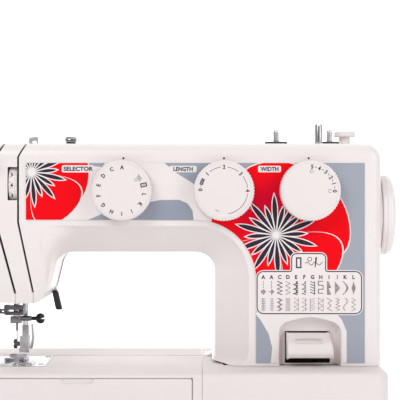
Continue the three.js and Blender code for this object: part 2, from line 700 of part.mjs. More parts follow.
const CLAMP_Z = 124.5;
const clampBody = box([-5.6, 4], [-5, 4.6], [CLAMP_Z - 3.6, CLAMP_Z + 2.4]);
const clampTube = rod("X", 2.2, [3, 13.2], [0, 0, CLAMP_Z + 0.4], 14);
const clampBore = rod("Z", BAR_RADIUS + GAP, [CLAMP_Z - 9, 140], [0, 0, 0], 16);
part(
  "needle_clamp",
  cut(join(clampBody, clampTube), clampBore, rod("X", 1.4, [4, 20], [0, 0, CLAMP_Z + 0.4], 12)),
  STEEL, needleLine,
);
const screwProfile = [
  [0, 9], [1, 9], [1, 13.6], [1.7, 13.6], [1.7, 18], [3.4, 18.6], [4.6, 20.4], [4.6, 22.6], [3.6, 24.6],
  [0, 25],
];
part(
  "needle_clamp_screw",
  cut(
    turned("X", screwProfile, [0, 0, CLAMP_Z + 0.4], 20),
    box([22.6, 27], [-7, 7], [CLAMP_Z - 0.2, CLAMP_Z + 1]),
  ),
  BLACK, needleLine,
);
const needleProfile = [[0, 98], [0.45, 102], [0.45, 113], [0.95, 114.5], [0.95, 121], [0, 121]];
part("needle", turned("Z", needleProfile, [0, 0, 0], 12), CHROME, needleLine);

// Needle threader: a slide on its own rod beside the needle bar, with a thumb tab on the left.
const threaderRod = rod("Z", 1.6, [131, 176], [-17, 3, 0], 12);
const threaderArm = box([-36, -7.6], [0.8, 5.4], [128.6, 133]);
const threaderTab = box([-40, -34], [-6, 5.4], [127.4, 136]);
const threaderHook = box([-9.6, -7.2], [-8, 2], [128.6, 130.4]);
part("needle_threader", join(threaderRod, threaderArm, threaderTab, threaderHook), STEEL, needleLine);

// Take-up lever: a thin arm in the left groove, with its eye in front of the face.
const TAKE_UP_X = -155.5;
const TAKE_UP_PIVOT = [10, 225]; // [y, z]
const takeUp = assembly(TAKE_UP_X, ...TAKE_UP_PIVOT);
const takeUpArm = rounded(
  [[-6, -6, 5.5], [6, -6, 5.5], [6, 6, 5.5], [-30, 24, 12], [-64, 43, 2.5], [-66, 37, 2.5]],
  3,
);
part(
  "take_up_lever",
  cut(prism("X", takeUpArm, [-0.55, 0.55]), rod("X", 1.2, [-1, 1], [0, -61.5, 37.6], 10)),
  CHROME, takeUp,
);

// ------------------------------------------------------------------ presser bar and foot

const presserLine = assembly(PRESSER_X, PRESSER_Y, 0);
part("presser_bar", rod("Z", 3, [98, 200], [0, 0, 0], 16), CHROME, presserLine);
const FOOT_TOP = 92.2;
const ankle = join(
  box([-4.6, 4.2], [-5, 5], [FOOT_TOP + 3, 108]),
  box([-4.6, 4.2], [-8.4, -3], [FOOT_TOP + 1.4, 97.2]),
);
part(
  "foot_holder",
  cut(ankle, rod("Z", 3 + GAP, [97.6, 120], [0, 0, 0], 16)),
  STEEL, presserLine,
);
const footScrew = [[0, -4.9], [2, -4.9], [2, -7.4], [4.2, -7.4], [4.2, -10.4], [0, -10.4]];
part("foot_screw", turned("X", footScrew, [0, 0, 100.6], 18), CHROME, presserLine);
const releaseArm = prism(
  "Y",
  rounded([
    [4.6, 95.4, 0], [6.4, 96.6, 0], [8.2, 106, 2], [6.6, 118.6, 0], [5.2, 118.6, 0], [5.6, 106, 3],
    [4.6, 99, 0],
  ]),
  [0, 6],
);
part("foot_release_lever", releaseArm, STEEL, presserLine);

// Presser foot: a sole with a needle slot, two toes, a heel cut away below, and the pin it hangs from.
const footOutline = rounded([
  [-9.6, -13, 2], [-3.7, -13, 0], [-3.7, -7.5, 0], [3.7, -7.5, 0], [3.7, -13, 0], [9.6, -13, 2],
  [9.6, 13, 3], [-9.6, 13, 3],
]);
const footSide = [[-14, BED_TOP + GAP], [7, BED_TOP + GAP], [14, 89.6], [14, 90], [-12, 90], [-14, 91.4]];
const footSole = prism("Z", footOutline, [BED_TOP, 92]).intersect(prism("X", footSide, [-12, 12]));
const needleWindow = box([-5, 5], [-2.2, 2.2], [80, 95]);
const FOOT_PIN = [8.4, 91.2]; // [y, z]
const footCheeks = [-7.6, 5.4].map((x) => box([x, x + 2.2], [6, 11], [89, FOOT_TOP]));
const footPin = rod("X", 0.9, [-6.4, 6.4], [0, ...FOOT_PIN], 10);
part("presser_foot", join(cut(footSole, needleWindow), ...footCheeks, footPin), STEEL, needleLine);

// Lifter: pivots behind the presser bar, comes out of the head's side and hangs down as a black grip.
const LIFTER_PIVOT = [-150, 35, 163]; // x, y, z
const lifter = assembly(...LIFTER_PIVOT);
const lifterArm = prism(
  "Y",
  rounded(
    [[-6, -6, 5.5], [4, -7, 4], [36, -17, 3], [39.5, -16, 1.5], [37.5, -11, 2], [6, 5, 4], [-6, 6, 5.5]],
    3,
  ),
  [-1.5, 1.5],
);
const lifterGrip = prism(
  "Y",
  rounded([[33, -16.5, 1], [36.6, -34.4, 2], [41.6, -33.2, 2], [38.4, -15, 1]], 3),
  [-3.6, 3.6],
);
part("presser_lever", join(lifterArm, lifterGrip), BLACK, lifter);

// ------------------------------------------------------------------ dials, reverse lever and tension wheel

// A ribbed dial on its shaft, in its own frame: the face is at -Y.
function dial(reach) {
  const profile = [
    [0, -14.6], [23, -14.6], [DIAL_RADIUS - 0.5, -12.6], [DIAL_RADIUS, -10.5], [DIAL_RADIUS, -1.6],
    [DIAL_RADIUS - 1, -0.8], [4, -0.8], [4, reach], [0, reach],
  ];
  return turned("Y", profile, [0, 0, 0], 36);
}
const DIAL_BACK = BODY_FRONT - 0.6;
const selector = assembly(SELECTOR_X, DIAL_BACK, DIAL_Z);
const camStack = [
  [0, 7.6], [14, 7.6], [14, 11], [16, 11], [16, 15], [13, 15], [13, 19], [15.5, 19], [15.5, 23], [12, 23],
  [12, 27], [4, 27], [4, 31], [0, 31],
];
part("selector_dial", join(dial(8), turned("Y", camStack, [0, 0, 0], 20)), DIAL_WHITE, selector);
part("length_dial", dial(16), DIAL_WHITE, assembly(LENGTH_X, DIAL_BACK, DIAL_Z));
part("width_dial", dial(16), DIAL_WHITE, assembly(WIDTH_X, DIAL_BACK, DIAL_Z));

const TENSION_Y = -27.6;
const TENSION_Z = 245;
const tensionProfile = [
  [0, -2.2], [2.6, -2.2], [2.6, 0], [17.4, 0], [18, 0.6], [18, 6.6], [17.4, 7.2], [0, 7.2],
];
part(
  "tension_dial", turned("X", tensionProfile, [0, 0, 0], 40), DIAL_WHITE,
  assembly(-144.8, TENSION_Y, TENSION_Z),
);

// Reverse lever: a thumb piece that hinges behind the pillar's face.
const REVERSE_PIVOT = [-12, 112]; // [y, z]
const reverseProfile = rounded([
  [-24, -16, 0], [-42, -16, 1.5], [-44.5, -12, 3], [-42, -6, 6], [-26, 4, 3], [-16, 3.6, 0], [-2, 4, 3],
  [4, 0, 3], [-2, -4, 3], [-14, -7, 4],
], 3);
part(
  "reverse_lever", prism("X", reverseProfile, [94.6, 131.6]), DIAL_WHITE,
  assembly(0, ...REVERSE_PIVOT),
);

// ------------------------------------------------------------------ top of the arm

const WINDER_X = 126.2;
const winder = assembly(WINDER_X, 0, 0);
part(
  "winder_carriage",
  cut(box([-9, 8], [-7, 7], [262, 266]), rod("Z", 3.6, [250, 270], [0, 0, 0], 16)),
  BLACK, winder,
);
const winderProfile = [
  [0, 256], [4.6, 256], [4.6, 261.6], [3.1, 261.6], [3.1, ARM_TOP], [4.6, ARM_TOP + 0.4],
  [3.9, ARM_TOP + 2], [3.1, ARM_TOP + 3], [3.1, 298], [2.4, 299], [0, 299],
];
const winderCatch = box([2.6, 3.8], [-0.6, 0.6], [ARM_TOP + 6, ARM_TOP + 12]);
part("winder_spindle", join(turned("Z", winderProfile, [0, 0, 0], 20), winderCatch), CHROME, winder);

const stopperProfile = [
  [0, ARM_TOP + GAP], [5, ARM_TOP + GAP], [5, 287.2], [9.6, 287.2], [9.6, 291], [8.8, 292], [0, 292.4],
];
part("winder_stopper", turned("Z", stopperProfile, [0, 0, 0], 28), DIAL_WHITE, assembly(149.5, 0, 0));

const guideProfile = [
  [0, ARM_TOP + GAP], [4.6, ARM_TOP + GAP], [5.4, 283], [4, 283.4], [5.8, 284], [6.2, 285], [5, 285.4],
  [5.6, 286],
  [5, 287.4], [0, 287.8],
];
part("winder_tension_guide", turned("Z", guideProfile, [0, 0, 0], 24), CHROME, assembly(-95.7, 0, 0));

const topGuide = cut(
  join(
    box([-4.2, 4.4], [0, 1], [ARM_TOP + GAP, ARM_TOP + 8.4]),
    box([-4.2, -1], [0, 8], [ARM_TOP + GAP, ARM_TOP + 1.3]),
  ),
  prism(
    "Y",
    rounded([
      [-0.8, ARM_TOP - 1, 0], [2.6, ARM_TOP - 1, 0], [3, ARM_TOP + 5, 1.6], [-0.8, ARM_TOP + 5, 1.6],
    ]),
    [-1, 2],
  ),
  box([2.2, 5], [-1, 2], [ARM_TOP - 1, ARM_TOP + 1.2]),
);
part("top_thread_guide", topGuide, STEEL, assembly(-130, 5, 0));

SPOOL_X.forEach((x, i) => {
  const side = ["left", "right"][i];
  const place = assembly(x, SPOOL_Y, 0);
  const pin = [[0, 240], [4, 240], [4, 243], [2.3, 243], [2.3, 294.6], [1.6, 295.8], [0, 295.8]];
  part(`spool_pin_${side}`, turned("Z", pin, [0, 0, 0], 16), CHROME, place);
});

// ------------------------------------------------------------------ rear handle and electrical fittings

const handle = assembly(0, HANDLE_Y, HANDLE_Z);
const [handleLeft, handleRight] = HANDLE_X;
const legOutline = rounded([[-5, 5, 4.8], [-5, -44, 3], [7, -44, 5], [7, -32, 4], [5, 5, 4.8]], 3);
const handleLegs = [
  prism("X", legOutline, [handleLeft, handleLeft + 5.6]),
  prism("X", legOutline, [handleRight - 5.6, handleRight]),
];
const grip = prism(
  "X",
  rounded([[-5, -44, 4], [7, -44, 5], [7, -33, 4], [-5, -33, 4]], 3),
  [handleLeft + 1, handleRight - 1],
);
const handlePins = [
  rod("X", 3.2, [handleLeft + 4, handleLeft + 12], [0, 0, 0], 14),
  rod("X", 3.2, [handleRight - 12, handleRight - 4], [0, 0, 0], 14),
];
part("carrying_handle", join(...handleLegs, grip, ...handlePins), WHITE, handle);

part(
  "power_inlet",
  cut(
    join(box([BODY_RIGHT - 24, BODY_RIGHT], [-17.4, 13.4], [26.6, 49.4])),
    box([BODY_RIGHT - 14, BODY_RIGHT + 1], [-13, 9], [30, 46]),
  ),
  BLACK,
);
const rocker = assembly(BODY_RIGHT - 3, -39, 38);
const rockerOutline = rounded([[-8, -4, 0], [8, -4, 0], [9, 2.4, 1], [0, 1.2, 14], [-9, 4.6, 1]], 3);
const rockerBody = prism("Y", rockerOutline.map(([u, v]) => [v, u]).reverse(), [-7.5, 7.5]);
part("power_switch", rockerBody, BLACK, rocker);

export default machine;
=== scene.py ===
import math

import bmesh
import bpy
from mathutils import Matrix, Vector
from mathutils.geometry import delaunay_2d_cdt


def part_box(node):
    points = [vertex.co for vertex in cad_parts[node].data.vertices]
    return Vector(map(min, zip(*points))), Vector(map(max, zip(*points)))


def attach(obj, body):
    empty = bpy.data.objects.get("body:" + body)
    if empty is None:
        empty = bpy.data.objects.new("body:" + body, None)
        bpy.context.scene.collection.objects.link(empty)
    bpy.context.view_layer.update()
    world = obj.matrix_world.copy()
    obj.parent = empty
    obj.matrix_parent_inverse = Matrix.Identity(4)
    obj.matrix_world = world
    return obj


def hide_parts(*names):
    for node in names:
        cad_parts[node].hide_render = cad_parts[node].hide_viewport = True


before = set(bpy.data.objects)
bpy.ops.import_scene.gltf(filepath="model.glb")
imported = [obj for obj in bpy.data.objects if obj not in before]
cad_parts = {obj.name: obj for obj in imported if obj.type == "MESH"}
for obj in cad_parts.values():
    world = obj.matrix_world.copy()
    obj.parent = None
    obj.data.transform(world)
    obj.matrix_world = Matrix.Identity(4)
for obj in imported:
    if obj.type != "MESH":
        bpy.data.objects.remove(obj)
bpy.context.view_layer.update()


# ---------------------------------------------------------------- front, rear and head covers
# The C-shaped upper body is injection-moulded in glossy white plastic. A rear shell and a front shell
# meet in a seam near the back, and two thread grooves cut the head's front into a side door and a strip.

MM = 0.001


def extent(node):
    """The low and high corners of a CAD node, in millimetres."""
    return [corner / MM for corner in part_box(node)]


def upright(low, high):
    """The x and y of the vertical line through a box's middle."""
    return ((low.x + high.x) / 2, (low.y + high.y) / 2)


def mesh_piece(name, points, faces):
    """Points are in millimetres, in the machine's own frame."""
    mesh = bpy.data.meshes.new(name)
    mesh.from_pydata([Vector(p) * MM for p in points], [], faces)
    shape = bmesh.new()
    shape.from_mesh(mesh)
    bmesh.ops.recalc_face_normals(shape, faces=shape.faces)
    shape.to_mesh(mesh)
    shape.free()
    piece = bpy.data.objects.new(name, mesh)
    bpy.context.scene.collection.objects.link(piece)
    return piece


def round_corners(corners, steps):
    """Turns each [u, v, radius] corner of an outline into an arc."""
    outline = []
    for i, (u, v, radius) in enumerate(corners):
        corner = Vector((u, v))
        if not radius:
            outline.append(corner)
            continue
        back = (Vector(corners[i - 1][:2]) - corner).normalized()
        ahead = (Vector(corners[(i + 1) % len(corners)][:2]) - corner).normalized()
        half = back.angle(ahead) / 2
        centre = corner + (back + ahead).normalized() * radius / math.sin(half)
        spoke = corner + back * radius / math.tan(half) - centre
        sweep = -(math.pi - 2 * half) * math.copysign(1, back.cross(ahead))
        for k in range(steps + 1):
            turn = Matrix.Rotation(sweep * k / steps, 2)
            outline.append(centre + turn @ spoke)
    return outline


def inset_corners(corners, distance):
    """Moves every side of an anticlockwise outline inwards, and keeps its corner list."""
    sides = []
    for i, (u, v, _) in enumerate(corners):
        nu, nv, _ = corners[(i + 1) % len(corners)]
        run = Vector((nu - u, nv - v)).normalized()
        sides.append((Vector((u, v)) + Vector((-run.y, run.x)) * distance, run))
    moved = []
    for i, (_, _, radius) in enumerate(corners):
        (p, run), (q, next_run) = sides[i - 1], sides[i]
        turn = run.cross(next_run)
        met = p + run * ((q - p).cross(next_run) / turn)
        reach = max(radius - distance, 0.8) if turn > 0 else radius + distance
        moved.append((met.x, met.y, reach if radius else 0))
    return moved


def skin(name, axis, levels, ring=False):
    """A closed skin over outlines of equal length, each at its own place along an axis."""
    place = {
        "X": lambda at, p: (at, p[0], p[1]),
        "Y": lambda at, p: (p[0], at, p[1]),
        "Z": lambda at, p: (p[0], p[1], at),
    }[axis]
    points = [place(at, p) for at, outline in levels for p in outline]
    n = len(levels[0][1])
    faces = [] if ring else [list(range(n)), list(range(len(points) - n, len(points)))]
    for r in range(len(levels) - (0 if ring else 1)):
        q = (r + 1) % len(levels)
        for i in range(n):
            j = (i + 1) % n
            faces.append([r * n + i, r * n + j, q * n + j, q * n + i])
    return mesh_piece(name, points, faces)


def prism(name, axis, outline, span):
    return skin(name, axis, [(at, outline) for at in span])


def block(name, x, y, z):
    return prism(name, "Z", [(x[0], y[0]), (x[1], y[0]), (x[1], y[1]), (x[0], y[1])], z)


def rounded_box(u, v, radius, steps):
    """A rectangle's outline with round corners."""
    corners = [(u[0], v[0], radius), (u[1], v[0], radius), (u[1], v[1], radius), (u[0], v[1], radius)]
    return round_corners(corners, steps)


def settle(piece):
    """Makes a piece's modifiers part of its mesh."""
    bpy.context.view_layer.update()
    graph = bpy.context.evaluated_depsgraph_get()
    mesh = bpy.data.meshes.new_from_object(piece.evaluated_get(graph))
    piece.modifiers.clear()
    piece.data = mesh
    return piece


def carve(piece, *tools, keep="DIFFERENCE"):
    for tool in tools:
        cut = piece.modifiers.new("cut", "BOOLEAN")
        cut.operation = keep
        cut.solver = "EXACT"
        cut.object = tool
        settle(piece)
        bpy.data.objects.remove(tool)
    return piece


def soften(piece, width, segments=2, limit=35):
    """Breaks a piece's sharp edges, as a mould or a tumbler leaves them."""
    edge = piece.modifiers.new("edge", "BEVEL")
    edge.width = width * MM
    edge.segments = segments
    edge.limit_method = "ANGLE"
    edge.angle_limit = math.radians(limit)
    return settle(piece)


def smooth(piece, angle=32):
    piece.data.shade_smooth()
    piece.data.set_sharp_from_angle(angle=math.radians(angle))
    return piece


def shader_group(title, inputs):
    """A node group for a surface. Gives the group and the sockets that it is handed."""
    group = bpy.data.node_groups.new(title, "ShaderNodeTree")
    for name, kind, start in inputs:
        socket = group.interface.new_socket(name, in_out="INPUT", socket_type="NodeSocket" + kind)
        if start is not None:
            socket.default_value = start
    return group, group.nodes.new("NodeGroupInput").outputs


def add_node(tree, kind, inputs, operation=None):
    """Adds a shader node. Each input takes a value, or another node's output."""
    node = tree.nodes.new("ShaderNode" + kind)
    if kind == "Mix":
        node.data_type = "RGBA"
        node.blend_type = operation
    elif operation:
        node.operation = operation
    for key, value in inputs.items():
        if isinstance(value, bpy.types.NodeSocket):
            tree.links.new(value, node.inputs[key])
        else:
            node.inputs[key].default_value = value
    return node


def give_out(group, colour, roughness, height=None):
    """A surface group's outputs: its varying colour, roughness and relief."""
    sockets = group.interface
    sockets.new_socket("Colour", in_out="OUTPUT", socket_type="NodeSocketColor")
    sockets.new_socket("Roughness", in_out="OUTPUT", socket_type="NodeSocketFloat")
    if height:
        sockets.new_socket("Height", in_out="OUTPUT", socket_type="NodeSocketFloat")
    out = group.nodes.new("NodeGroupOutput")
    group.links.new(colour, out.inputs["Colour"])
    group.links.new(roughness, out.inputs["Roughness"])
    if height:
        group.links.new(height, out.inputs["Height"])
    return group


def moulding_group():
    """Moulded plastic's uneven surface: faint flow mottle, fine spark grain and handling haze."""
    group, given = shader_group("moulding surface", [
        ("Colour", "Color", None), ("Mottle", "Float", 0.02), ("Roughness", "Float", 0.3),
        ("Haze", "Float", 0.06), ("Grain Size", "Float", 900.0),
    ])
    where = add_node(group, "TexCoord", {}).outputs["Object"]
    flow = add_node(group, "TexNoise", {"Vector": where, "Scale": 14.0, "Detail": 4.0})
    shift = add_node(group, "MapRange", {"Value": flow.outputs["Fac"], "From Min": 0.3, "From Max": 0.7})
    depth = add_node(group, "Math", {0: shift.outputs["Result"], 1: given["Mottle"]}, "MULTIPLY")
    darker = add_node(group, "Mix", {
        "Factor": depth.outputs["Value"], "A": given["Colour"], "B": (0.55, 0.5, 0.48, 1),
    }, "MULTIPLY")
    smear = add_node(group, "TexNoise", {"Vector": where, "Scale": 45.0, "Detail": 6.0})
    haze = add_node(group, "Math", {
        0: smear.outputs["Fac"], 1: given["Haze"], 2: given["Roughness"],
    }, "MULTIPLY_ADD")
    grain = add_node(group, "TexNoise", {"Vector": where, "Scale": given["Grain Size"], "Detail": 3.0})
    return give_out(group, darker.outputs["Result"], haze.outputs["Value"], grain.outputs["Fac"])


moulding = moulding_group()


def surfaced(name, group, values, own, relief=None):
    """A material with a surface group's outputs and the shader's own constants."""
    material = bpy.data.materials.new(name)
    material.use_nodes = True
    tree = material.node_tree
    shader = tree.nodes["Principled BSDF"]
    surface = tree.nodes.new("ShaderNodeGroup")
    surface.node_tree = group
    for title, value in values.items():
        surface.inputs[title].default_value = value
    for title, value in own.items():
        shader.inputs[title].default_value = value
    tree.links.new(surface.outputs["Colour"], shader.inputs["Base Color"])
    tree.links.new(surface.outputs["Roughness"], shader.inputs["Roughness"])
    if relief:
        strength, distance = relief
        bump = add_node(tree, "Bump", {
            "Strength": strength, "Distance": distance, "Height": surface.outputs["Height"],
        })
        tree.links.new(bump.outputs["Normal"], shader.inputs["Normal"])
    return material


def moulded(name, colour, roughness=0.3, haze=0.08, mottle=0.03, grain=900.0, relief=0.04, coat=0.0):
    """A plastic moulding's material."""
    return surfaced(name, moulding, {
        "Colour": (*colour, 1), "Mottle": mottle, "Roughness": roughness, "Haze": haze, "Grain Size": grain,
    }, {"Coat Weight": coat, "Coat Roughness": 0.12}, (relief, 0.0002))


def wear(piece, *materials):
    """Gives a piece its materials, in the order of its slots."""
    slots = piece.data.materials
    for i, material in enumerate(materials):
        if i < len(slots):
            slots[i] = material
        else:
            slots.append(material)
    return piece


def install(piece, material, body, node=None, edge=0, angle=32):
    """Breaks a piece's edges, smooths it and fits it to its body, in a CAD node's place if one is named."""
    if edge:
        soften(piece, edge)
    wear(smooth(piece, angle), material)
    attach(piece, body)
    if node:
        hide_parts(node)
    return piece


white_plastic = moulded("gloss white plastic", (0.84, 0.785, 0.778), coat=0.15)

front_low, front_high = extent("front_cover")
rear_low = extent("rear_cover")[0]
foot_z = front_low.z
arm_top = front_high.z
body_front = front_low.y
body_back = 55.0
body_right = front_high.x
head_left = rear_low.x
seam_y = (front_high.y + rear_low.y) / 2

full_section = [
    (body_right, foot_z, 0), (body_right, arm_top, 14), (head_left, arm_top, 12), (head_left, 142.5, 8),
    (-121, 140.8, 8), (-112, 152, 8), (-104, 185.4, 15), (33.3, 185.4, 17.5), (33.3, foot_z + 0.1, 9),
    (23.6, foot_z + 0.1, 0),
]
front_face = [
    (168, foot_z, 0), (168, 268, 6), (-176, 268, 6), (-176, 147, 6),
    (-117, 144, 4), (-114, 152, 4), (-107, 208.6, 36), (62, 208.6, 44), (62, foot_z + 0.1, 12),
    (49, foot_z + 0.1, 0),
]
crease_z = 208.6
crease_drop = {3: 1.0, 4: 1.2, 5: 0.6}
head_lean = 8.0


def body_section(depth):
    """The body's corners at a depth behind its face: round rim, bevelled throat, leaning lower head."""
    rim = math.sqrt(1 - (1 - min(depth / 12, 1)) ** 2)
    throat = min(depth / 23, 1) ** 1.12
    lean = min(depth / head_lean, 1)
    section = []
    for i, (near, far) in enumerate(zip(front_face, full_section)):
        share = throat if i >= 5 else rim
        x, z, radius = [a + (b - a) * share for a, b in zip(near, far)]
        if i in crease_drop:
            z += (crease_z - crease_drop[i] - z) * (1 - lean)
        section.append([x, z, radius])
    behind = depth - (body_back - body_front - 12)
    if behind > 0:
        feet = [i for i, corner in enumerate(section) if corner[1] < foot_z + 1]
        section = inset_corners(section, 11 * (1 - math.sqrt(max(1 - (behind / 12) ** 2, 0))))
        for i in feet:
            section[i] = (section[i][0], full_section[i][1], section[i][2])
        section[-1] = (section[-2][0] - 9.7, section[-1][1], 0)
    return section


def body_solid(name, wall):
    depths = [0, 0.15, 0.5, 1, 1.8, 3, 4.5, 6.5, 9, 12, 15.5, 19, 21.5, 23, 24, 56, 86]
    depths += [88, 90.5, 93, 95, 97, 98.5, 99.5, 99.9, 100]
    if wall:
        depths = [0, 1.5, 4, 8, 12, 18, 23, 60, 86, 91, 95]
    levels = []
    for depth in depths:
        corners = body_section(depth)
        if wall:
            corners = inset_corners(corners, wall)
            corners[0] = (corners[0][0], foot_z - 6, 0)
            corners[-2] = (corners[-2][0], foot_z - 6, 0)
            corners[-1] = (corners[-2][0] + 4, foot_z - 6, 0)
        levels.append(
            (body_front + depth + (wall if wall else 0), round_corners(corners, 4 if wall else 12))
        )
    return skin(name, "Y", levels)


def twin(piece, name):
    copy = piece.copy()
    copy.data = piece.data.copy()
    copy.name = name
    bpy.context.scene.collection.objects.link(copy)
    return copy


shell = carve(body_solid("body shell", 0), body_solid("body hollow", 2.5))
carve(shell, block("needle opening", (-168, -128), (-16, 39), (100, 156)))

tension_groove = [(-129.5, 281), (-136.5, 268), (-136.5, 212), (-124.5, 151)]
lever_groove = [(-148.5, 281), (-155.5, 268), (-155.5, 212), (-140, 150.2)]


def groove_edge(line, side, half):
    """One side of a thread groove. Below the groove's end only a fine seam is left."""
    edge = [(line[0][0] + side * half, arm_top + 20)]
    edge += [(x + side * half, z) for x, z in line]
    edge.append((line[-1][0] + side * 0.15, line[-1][1] - 0.2))
    edge.append((line[-1][0] + side * 0.15, 120))
    return edge


def cover(name, left, right, depth):
    """The part of the shell between two edges, and between two depths."""
    region = skin("region", "Y", [(at, left + right[::-1]) for at in depth])
    return carve(twin(shell, name), region, keep="INTERSECT")


left_end = [(head_left - 20, arm_top + 20), (head_left - 20, 60)]
right_end = [(body_right + 20, arm_top + 20), (body_right + 20, 60)]
front_depth = (body_front - 10, seam_y - 0.15)
rear_depth = (seam_y + 0.15, body_back + 10)

# The pillar's front has a scooped pocket for the reverse lever, with a window in its floor.
pocket_floor = -35.5
front_shell = cover("front_shell", groove_edge(tension_groove, 1, 0.85), right_end, front_depth)
pocket_wall = block(
    "pocket wall", (85.5, 143.5), (body_front + 2, pocket_floor + 2.5), (foot_z + 0.05, 137.5),
)
carve(front_shell, pocket_wall, keep="UNION")
pocket_mouth = [(88.2, 80, 0), (140.9, 80, 0), (140.9, 124.2, 10), (114.6, 131.4, 40), (88.2, 124.2, 10)]
pocket_bottom = [(91.2, 80, 0), (137.9, 80, 0), (137.9, 120.2, 9), (114.6, 125.6, 36), (91.2, 120.2, 9)]
scoop = []
for k in range(9):
    share = k / 8
    ease = 1 - math.sqrt(1 - share * share)
    ring = [
        [a + (b - a) * ease for a, b in zip(mouth, bottom)]
        for mouth, bottom in zip(pocket_mouth, pocket_bottom)
    ]
    scoop.append((body_front - 0.5 + (pocket_floor - body_front + 0.5) * share, round_corners(ring, 10)))
carve(
    front_shell,
    skin("pocket", "Y", scoop),
    block("lever window", (93.6, 132.6), (pocket_floor - 1, pocket_floor + 6), (89.6, 117.4)),
    block("winder slot", (121, 137), (-4.5, 4.5), (arm_top - 6, arm_top + 4)),
)
strip = cover(
    "thread_channel_strip", groove_edge(lever_groove, 1, 1.0), groove_edge(tension_groove, -1, 0.85),
    front_depth
)
tension_window = round_corners(
    [(-145.6, 230.8, 0.8), (-134, 230.8, 0), (-134, 259.4, 0), (-145.6, 259.4, 0.8)], 3,
)
carve(
    strip,
    prism("tension window", "Y", tension_window, (body_front - 2, body_front + 8)),
)
side_door = cover("side_door", left_end, groove_edge(lever_groove, -1, 1.0), front_depth)
rear_shell = cover("rear_shell", left_end, right_end, rear_depth)
carve(rear_shell, block("lifter slot", (-122, -88), (28.6, 41.4), (136, 185)))
for x in (-44, 76):
    lug_outline = round_corners(
        [(body_back - 5, 249.5, 0), (68, 249.5, 8.2), (68, 266.5, 8.2), (body_back - 5, 266.5, 0)], 8,
    )
    lug = prism("handle lug", "X", lug_outline, (x, x + 8))
    carve(rear_shell, lug, keep="UNION")
bpy.data.objects.remove(shell)

for piece, node, body in [
    (front_shell, "front_cover", "machine"), (strip, "thread_channel_cover", "machine"),
    (side_door, "face_cover", "side_cover"), (rear_shell, "rear_cover", "machine"),
]:
    install(piece, white_plastic, body, node, angle=28)


# ---------------------------------------------------------------- thread channels
# Behind each groove stand thin near-black plates. They are painted shade that keeps the groove dark along
# the thread's way down to the tension discs and up to the take-up lever.
# Only their dark edges, and a floor plate behind the tension groove, show through the grooves.

# Near-black colour of the plates behind the thread grooves: painted shade inside the grooves.
groove_shade_black = moulded("painted groove shade", (0.012, 0.011, 0.012), roughness=0.45, haze=0.2, relief=0.08)


def channel_plate(name, line, side, near, far, depth):
    """A thin plate that follows a groove's line beside it, from its top to its bottom."""
    inner = [(x + side * near, z) for x, z in line]
    outer = [(x + side * far, z) for x, z in line]
    outline = inner + outer[::-1]
    return prism(name, "Y", outline, depth)


shade_plate_pieces = []
for title, line, gap in [("tension", tension_groove[1:], 1.15), ("take-up", lever_groove[1:], 1.35)]:
    run = [(x, min(z, 267.5)) for x, z in line]
    run[-1] = (run[-1][0] - 0.2, run[-1][1] + 2)
    for side in (-1, 1):
        run_side = [(-136.5, 212), run[-1]] if title == "tension" and side < 0 else run
        shade_plate_pieces.append(
            channel_plate(f"{title} channel {side}", run_side, side, gap, gap + 0.5, (-42.2, -12))
        )
tension_back = [(-136.5, 229), (-136.5, 212), (-124.8, 154)]
# The floor plate right behind the tension groove is painted shade, seen through the groove.
shade_plate_pieces.append(channel_plate("tension channel floor", tension_back, -1, -1.1, 1.1, (-31, -30)))
for plate in shade_plate_pieces:
    plate.name = plate.name.replace(" ", "_")
    for vertex in plate.data.vertices:
        vertex.co.y += max(crease_z * MM - vertex.co.z, 0) * head_lean / 62
    wear(plate, groove_shade_black)
    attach(plate, "machine")


# ---------------------------------------------------------------- printed front film
# A printed polyester film is stuck in a shallow recess along the arm and down the pillar. Big red
# five-petal flowers with dark, white-edged stamens lie on blue-grey and white waves.

film_low, film_high = extent("decor_panel")
film_y = film_low.y - 0.02
arch = (16.6, 162.2, 51.6)


def arc(centre, radius, start, end, steps):
    """Points on a circle, from one angle in degrees to another."""
    angles = [math.radians(start + (end - start) * k / steps) for k in range(steps + 1)]
    return [(centre[0] + radius * math.cos(a), centre[1] + radius * math.sin(a)) for a in angles]


film_edge = [(film_low.x, 214.0), *arc(arch[:2], arch[2], 90, 0, 24), (68.2, film_low.z)]
film_edge += round_corners(
    [
        (87.6, film_low.z, 0), (87.6, 124.6, 10), (114.6, 132.0, 40), (141.5, 124.6, 10),
        (141.5, film_low.z, 0),
    ],
    8
)
film_edge += [(film_high.x, film_low.z), (film_high.x, film_high.z), (film_low.x, film_high.z)]


def petal(centre, heading, reach, width, waist=0.16):
    """A round petal: narrow at the flower's heart, widest near its end."""
    points = []
    for k in range(37):
        t = math.pi * (k / 36 - 0.5) * 2
        along = reach * (0.54 + 0.46 * math.cos(t))
        swell = waist + (1 - waist) * (along / reach) ** 0.8
        across = width * 0.5 * math.sin(t) * swell * 1.25
        a = math.radians(heading)
        points.append((
            centre[0] + along * math.cos(a) - across * math.sin(a),
            centre[1] + along * math.sin(a) + across * math.cos(a),
        ))
    return points[:-1]


def stamen(centre, heading, start, end, width):
    """A lance-shaped leaf that points away from the flower's heart."""
    a = math.radians(heading)
    points = []
    for side in (1, -1):
        for k in range(9):
            t = k / 8 if side > 0 else 1 - k / 8
            along = start + (end - start) * t
            across = side * width * 0.5 * math.sin(math.pi * t ** 1.35) ** 0.8 if 0 < t < 1 else 0
            points.append((
                centre[0] + along * math.cos(a) - across * math.sin(a),
                centre[1] + along * math.sin(a) + across * math.cos(a),
            ))
    return points[:8] + points[9:17]


